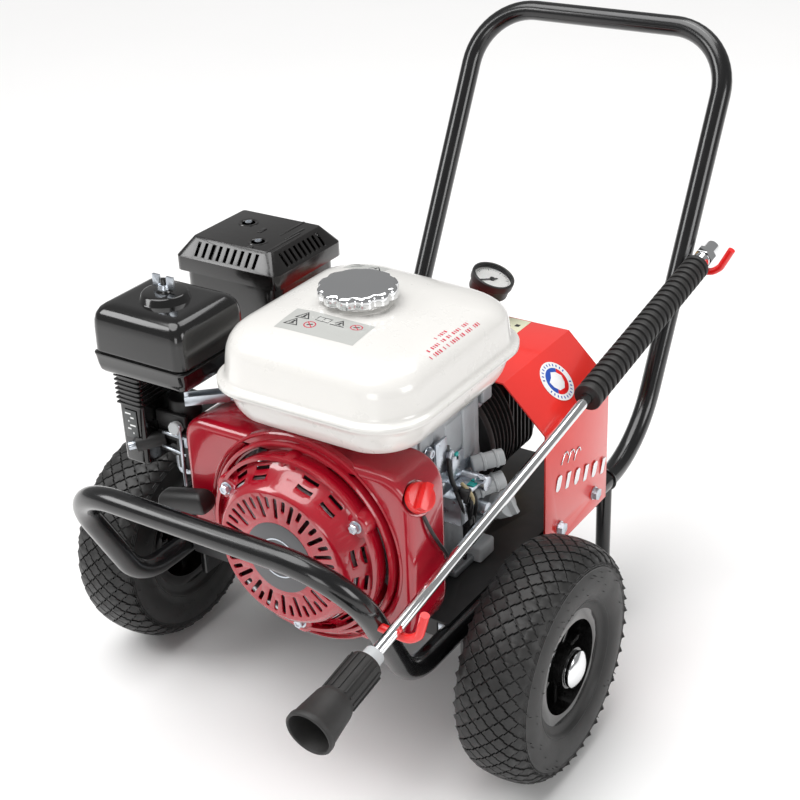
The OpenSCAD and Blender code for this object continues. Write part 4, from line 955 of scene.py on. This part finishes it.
mark(joined("wireLoom", loom), "black_matte", "wireBlack")
mark(tube("beigeLead", [(148, 18, 300), (158, 14, 298), (162, 20, 288), (157, 24, 276)], 2.1, 4, True), "black_matte",
     "leadBeige")
mark(tube("switchLead", [(184, -112, 344), (187, -106, 326), (189, -92, 300), (186, -66, 268), (168, -34, 234),
                        (146, -6, 206)], 2.0, 4, True), "black_matte", "wireBlack")
wear(block("groundBlock", (141, 66, 192), (18, 30, 20), 3, 3), "grey_plastic")
print("engine done")

# ---- fuel tank ----

tank = {"left": -39, "right": 196, "front": -164, "back": 94, "seam": 450, "corner": 54}


def tankPiece(name, rings, way):  # rings of inset and height, away from the seam
    low = (tank["left"], tank["front"], tank["seam"])
    high = (tank["right"], tank["back"])
    return boxStack(name, low, high, tank["corner"], rings, way, 14)


upper = [(0, 0), (0, 2.6), (0.4, 3.1), (1.2, 3.4), (3.2, 3.8), (5.0, 4.6), (6.2, 6.2), (6.9, 9), (8.4, 26), (9.6, 34),
         (12.0, 41), (16.2, 47.6), (22, 52.4),
         (30, 55.8), (42, 58), (58, 59.4), (76, 60)]
lower = [(0, 0), (0, 2.4), (0.4, 2.9), (1.2, 3.2), (5, 3.4), (7.2, 5), (9.5, 14), (13, 25), (17.5, 33), (24, 37.8),
         (34, 40)]
tankParts = [tankPiece("tankUpper", upper, 1), tankPiece("tankLower", lower, -1)]
tankBody = joined("tankShell", tankParts)
smooth(tankBody, 60)


def tankSag(x, y):  # the top falls away to the right and to the rear
    fx = min(max((x - 60) / 130, 0), 1)
    fy = min(max((y - 10) / 90, 0), 1)
    return 9 * fx * fx * (3 - 2 * fx) + 6 * fy * fy * (3 - 2 * fy)


for vertex in tankBody.data.vertices:
    rise = vertex.co.z * 1000 - tank["seam"] - 30
    if rise > 0:
        x, y = vertex.co.x * 1000, (vertex.co.y - axleY) * 1000
        vertex.co.z -= tankSag(x, y) * min(rise / 28, 1) / 1000
tankParts = [tankBody, turned("tankNeck", [(34, -3), (34, 0.4), (32, 1.6), (30, 2), (29, 5), (26, 6)], (66, -32, 508),
                              (0, 0, 1), 64)]
wear(smooth(joined("tankShell", tankParts), 60), "tank_white", "fuel_tank")


def surfaceTree(obj):
    verts = [v.co.copy() for v in obj.data.vertices]
    return BVHTree.FromPolygons(verts, [tuple(p.vertices) for p in obj.data.polygons])


tankTree = surfaceTree(tankBody)
cap = {"centre": (66, -32), "under": 514.4, "flank": 34, "lobes": 12, "valley": 3.0}
capPiece = turned("fuelCap", [(30, 1.0), (36, 0), (38.8, 0.3), (39.8, 1.4), (40, 3), (40, 8.6), (39.5, 10.4), (38, 12),
                              (35.2, 12.9),
                              (30, 13.2), (18, 13.5), (4, 13.6)], (*cap["centre"], cap["under"]), (0, 0, 1), 144)
for vertex in capPiece.data.vertices:
    dx, dy = vertex.co.x * 1000 - cap["centre"][0], (vertex.co.y - axleY) * 1000 - cap["centre"][1]
    reach = hypot(dx, dy)
    edge = min(max((reach - cap["flank"]) / 5, 0), 1)
    pull = cap["valley"] * edge * (0.5 + 0.5 * cos(cap["lobes"] * atan2(dy, dx))) ** 2.2 / max(reach, 1)
    vertex.co.x -= dx * pull / 1000
    vertex.co.y -= dy * pull / 1000
fit(smooth(capPiece, 50), "cap", "chrome", looks["chrome"], "fuel_cap")


decalHeight = 560


def lay(obj, height, lift):  # a flat decal dropped onto the surface below it
    for vertex in obj.data.vertices:
        above = vertex.co.copy()
        thick = above.z - height / 1000
        hit = tankTree.ray_cast(Vector((above.x, above.y, height / 1000 + 0.05)), Vector((0, 0, -1)))
        if hit[0] is not None:
            vertex.co = hit[0] + hit[1] * (thick + lift / 1000)
    return obj


def tankDecal(name, centre, size, spin=0, lift=0.05, cuts=8):
    only()
    bpy.ops.mesh.primitive_grid_add(x_subdivisions=cuts, y_subdivisions=cuts, size=1)
    obj = named(name)
    obj.scale = (size[0] / 1000, size[1] / 1000, 1)
    placeInMesh(obj)
    place = shift(at(*centre, decalHeight)) @ spun(spin, "Z")
    return lay(placeInMesh(obj, place), decalHeight, lift)


frontLabel = {"centre": (70, -95), "size": (86, 42), "turn": 4}
backLabel = {"centre": (23, 46), "size": (43, 21), "turn": 8}
for name, label in (("frontLabel", frontLabel), ("backLabel", backLabel)):
    mark(tankDecal(name, label["centre"], label["size"], label["turn"], 0.12, 16), "tank_white", "labelGrey")
ink, redInk = [], []


def onLabel(label, x, y):
    a = radians(label["turn"])
    return (label["centre"][0] + x * cos(a) - y * sin(a), label["centre"][1] + x * sin(a) + y * cos(a))


def inkLine(label, start, end, width, into):
    a, b = onLabel(label, *start), onLabel(label, *end)
    turn = degrees(atan2(b[1] - a[1], b[0] - a[0]))
    into.append(tankDecal("inkLine", ((a[0] + b[0]) / 2, (a[1] + b[1]) / 2), (dist(a, b) + width * 0.8, width), turn,
                          0.2, 2))


def warning(label, x, y, h=12):
    corners = [(x - h * 0.58, y - h / 2), (x + h * 0.58, y - h / 2), (x, y + h / 2)]
    for i in range(3):
        inkLine(label, corners[i], corners[(i + 1) % 3], 1.2, ink)
    inkLine(label, (x, y - h * 0.2), (x + 0.6, y + h * 0.12), 2.2, ink)
    inkLine(label, (x - 2.4, y - h * 0.3), (x + 2.4, y - h * 0.3), 1.0, ink)


def ban(label, x, y, r=5.6):
    ring = arc(x, y, r, 0, 360, 16)
    for start, end in zip(ring, ring[1:]):
        inkLine(label, start, end, 1.1, redInk)
    inkLine(label, (x - r * 0.7, y + r * 0.7), (x + r * 0.7, y - r * 0.7), 1.1, redInk)
    inkLine(label, (x - 2, y - 1), (x + 2, y + 1.4), 1.6, ink)


warning(frontLabel, -27, 10)
warning(frontLabel, 11, 10)
warning(frontLabel, -31, -5)
ban(frontLabel, 29, 10)
ban(frontLabel, -13, -5)
for x0 in (-13, -6):
    for y0 in (5.5, 14):
        inkLine(frontLabel, (x0, y0), (x0 + 7, y0 - 0.8), 0.8, ink)
for x0 in (-13, -6, 1):
    inkLine(frontLabel, (x0, 5.5), (x0, 14), 0.8, ink)
warning(backLabel, 10, 0, 13)
inkLine(backLabel, (-17, 4), (-5, 4), 1.2, ink)
inkLine(backLabel, (-17, 4), (-12, 7), 1.2, ink)
inkLine(backLabel, (-16, -4), (-6, -1), 1.2, ink)
mark(joined("labelInk", ink), "tank_white", "blackInk")
words = [(0, (7,)), (1, (9, 2, 8)), (2, (6, 1, 6, 2, 7))]
for row, lengths in words:
    run = -sum(lengths) * 1.9
    for length in lengths:
        for k in range(length):
            if (k * 7 + row * 3 + length) % 5 != 4:
                along = run + k * 3.5
                y = -38 + along
                x = 168 + row * 6.2 - 3
                redInk.append(tankDecal("wordInk", (x, y), (3.4, 1.3 + 0.9 * ((k + row) % 2)), 8, 0.18, 1))
        run += length * 3.5 + 3
mark(joined("redInk", redInk), "tank_white", "redInk")
print("tank done")

# ---- air cleaner, carburettor and muffler ----


airLow, airHigh = (-181, -155, 450), (-60, -49, 500)
coverRings = [(3.2, 0), (2.4, 0.8), (1.3, 1.6), (1.2, 3), (1.6, 26), (2.2, 34), (4.0, 40.5), (7.4, 45.6), (12, 48.6),
              (17, 49.8), (22, 50)]
airParts = [boxStack("airCover", airLow, airHigh, 15, coverRings),
            turned("airBoss", [(28, -0.6), (27, 0.4), (26, 1.6), (23.6, 7.2), (22.6, 8.2), (21, 8.7), (9, 9),
                               (8.4, 10.8), (7.4, 11.2),
                               (5, 11.2)], (-120.5, -102, 499.2), (0, 0, 1), 64)]
fit(smooth(joined("airCover", airParts), 50), "air_cover", "black_gloss", looks["black_gloss"], "air_cleaner_cover")
baseRings = [(9, -24), (6, -23), (3.6, -20), (2.4, -14), (1.2, -4), (0.6, -2.6), (0.8, -1.4), (2.4, -0.8), (3.2, 0)]
base = boxStack("airBase", airLow, airHigh, 15, baseRings)
neckParts = [base, block("airNeck", (-153, -108, 372), (31, 62, 108), 5, 4)]
for i in range(7):
    neckParts.append(block("neckRib", (-153, -108, 388 + 5.2 * i), (33, 65, 2.4), 1, 2))
neckParts.append(rod("airStud", (-120.5, -102, 440), (-120.5, -102, 521), 3, 0.6, 20))
fit(smooth(joined("airBase", neckParts), 50), "machine", "black_matte", looks["black_gloss"], "air_cleaner_base")
mark(block("neckLabel", (-153, -140.2, 366), (17, 0.3, 32), 0.1), "black_matte", "labelDark")
neckInk = [block("neckInk", (-153 + 5 * (i % 2) - 2.5, -140.5, 378 - 4.4 * i), (7.5 - 3 * (i % 3), 0.14, 1.8),
                 0.05) for i in range(6)]
mark(joined("neckInk", neckInk), "black_matte", "labelWhite")

carb = refined("carburettor", 1.2, 3)
carbParts = [carb, block("carbFlange", (-116, -118, 372), (40, 7, 14), 2.5, 3),
             block("carbPlate", (-118, -119.5, 352), (34, 4, 8), 1.5, 3),
             rod("carbNose", (-150, -140, 343), (-128, -118, 347), 8.5, 1.2),
             rod("carbTop", (-112, -100, 370), (-112, -100, 392), 17, 3),
             block("carbArm", (-100, -122, 340), (16, 5, 42), 1.5, 2),
             rod("chokePipe", (-84, -122, 320), (-84, -122, 366), 5, 1)]
fit(joined("carbBody", carbParts), "machine", "cast_alu", looks["black_matte"], "carburettor")
carbBits = [rod("carbPin", (-100, -126, 300), (-100, -126, 372), 1.8, 0.3, 16),
            rod("carbPin", (-128, -124, 340), (-96, -124, 336), 1.6, 0.3, 16),
            rod("carbScrew", (-155, -146, 342), (-149, -140, 343), 5, 0.8, 24),
            rod("carbSpring", (-126, -123, 356), (-96, -123, 356), 2.4, 0.4, 16),
            block("carbClip", (-92, -124, 352), (10, 3, 12), 0.8)]
wear(joined("carbBits", carbBits), "zinc")
wear(turned("greyPlug", [(6.5, 0), (7.2, 0.8), (7.2, 8), (6.2, 9), (2, 9)], (-106, -121, 366), (0.1, -1, 0.2), 8,
            angle=20), "grey_plastic")
bowl = turned("fuelBowl", [(16, 0), (16, 5), (15.4, 6), (15, 20), (13.6, 25), (10, 27.4), (4.5, 28), (4.2, 29.5),
                           (1.5, 29.8)],
              (-113, -100, 330), (0, 0, -1), 48)
wear(bowl, "zinc", "float_bowl")

guardPiece = refined("muffler_guard", 1.0, 3)
dimples = [turned("screwDish", [(11.5, 0), (11, 0.8), (9.6, 0.9), (8.0, 0.4), (6.4, -1.0), (3, -1.4)], (x, y, 505),
                  (0, 0, 1), 40)
           for x, y in ((-166, 92), (-122, 52))]
for i, (x, y, length) in enumerate(((-150, 108, 0), (-112, 100, 44), (-100, 88, 34), (-96, 62, 60))):
    if length:
        dimples.append(block("pressedRib", (x, y, 505.1), (3.0, length, 1.2), 0.5, 3))
dimples += [block("pressedRib", (-138, 80, 505.2), (5, 12, 1.6), 0.7, 3),
            block("pressedRib", (-120, 36, 505.2), (7, 4, 1.4), 0.6, 3)]
wear(joined("mufflerGuard", [guardPiece, *dimples]), "heat_black", "muffler_guard")
for x, y in ((-166, 92), (-122, 52)):
    wear(hexHead("guardScrew", (x, y, 504.6), (0, 0, 1), 7, 2.6, 5, spin=15), "zinc")
print("air cleaner, carburettor and muffler done")

# ---- gauge ----

refit("gauge_case", 0.9, 3)
leanWay = (sin(radians(22)), 0, cos(radians(22)))


def onGauge(x, y, h):
    lean = radians(22)
    return (34 + h * sin(lean) + x * cos(lean), 258 + y, 383.5 + h * cos(lean) - x * sin(lean))


ticks = []
for i in range(31):
    angle = radians(225 - 9 * i)
    long = 3.6 if i % 5 == 0 else 1.8
    r = 20.6 - long / 2
    tick = block("dialTick", (0, 0, 0), (long, 0.7 if i % 5 == 0 else 0.35, 0.1), 0.03, 1)
    tick.data.transform(shift(-at(0, 0, 0)))
    place = facing(onGauge(0, 0, 35.1), leanWay) @ Matrix.Rotation(angle, 4, "Z") @ shift((r / 1000, 0, 0))
    tick.data.transform(place)
    ticks.append(tick)
mark(joined("dialTicks", ticks), "dial_white", "blackInk")
refit("gauge_needle", 0)
fit(turned("gaugeBezel", [(21.6, -1), (22.2, 0.4), (24.2, 0.6), (25, 0), (25.3, -2), (25, -8), (24, -8.4), (21.6, -1)],
           onGauge(0, 0, 42), leanWay,
           72, hollow=True), "machine", "black_matte", looks["black_matte"])
print("gauge done")
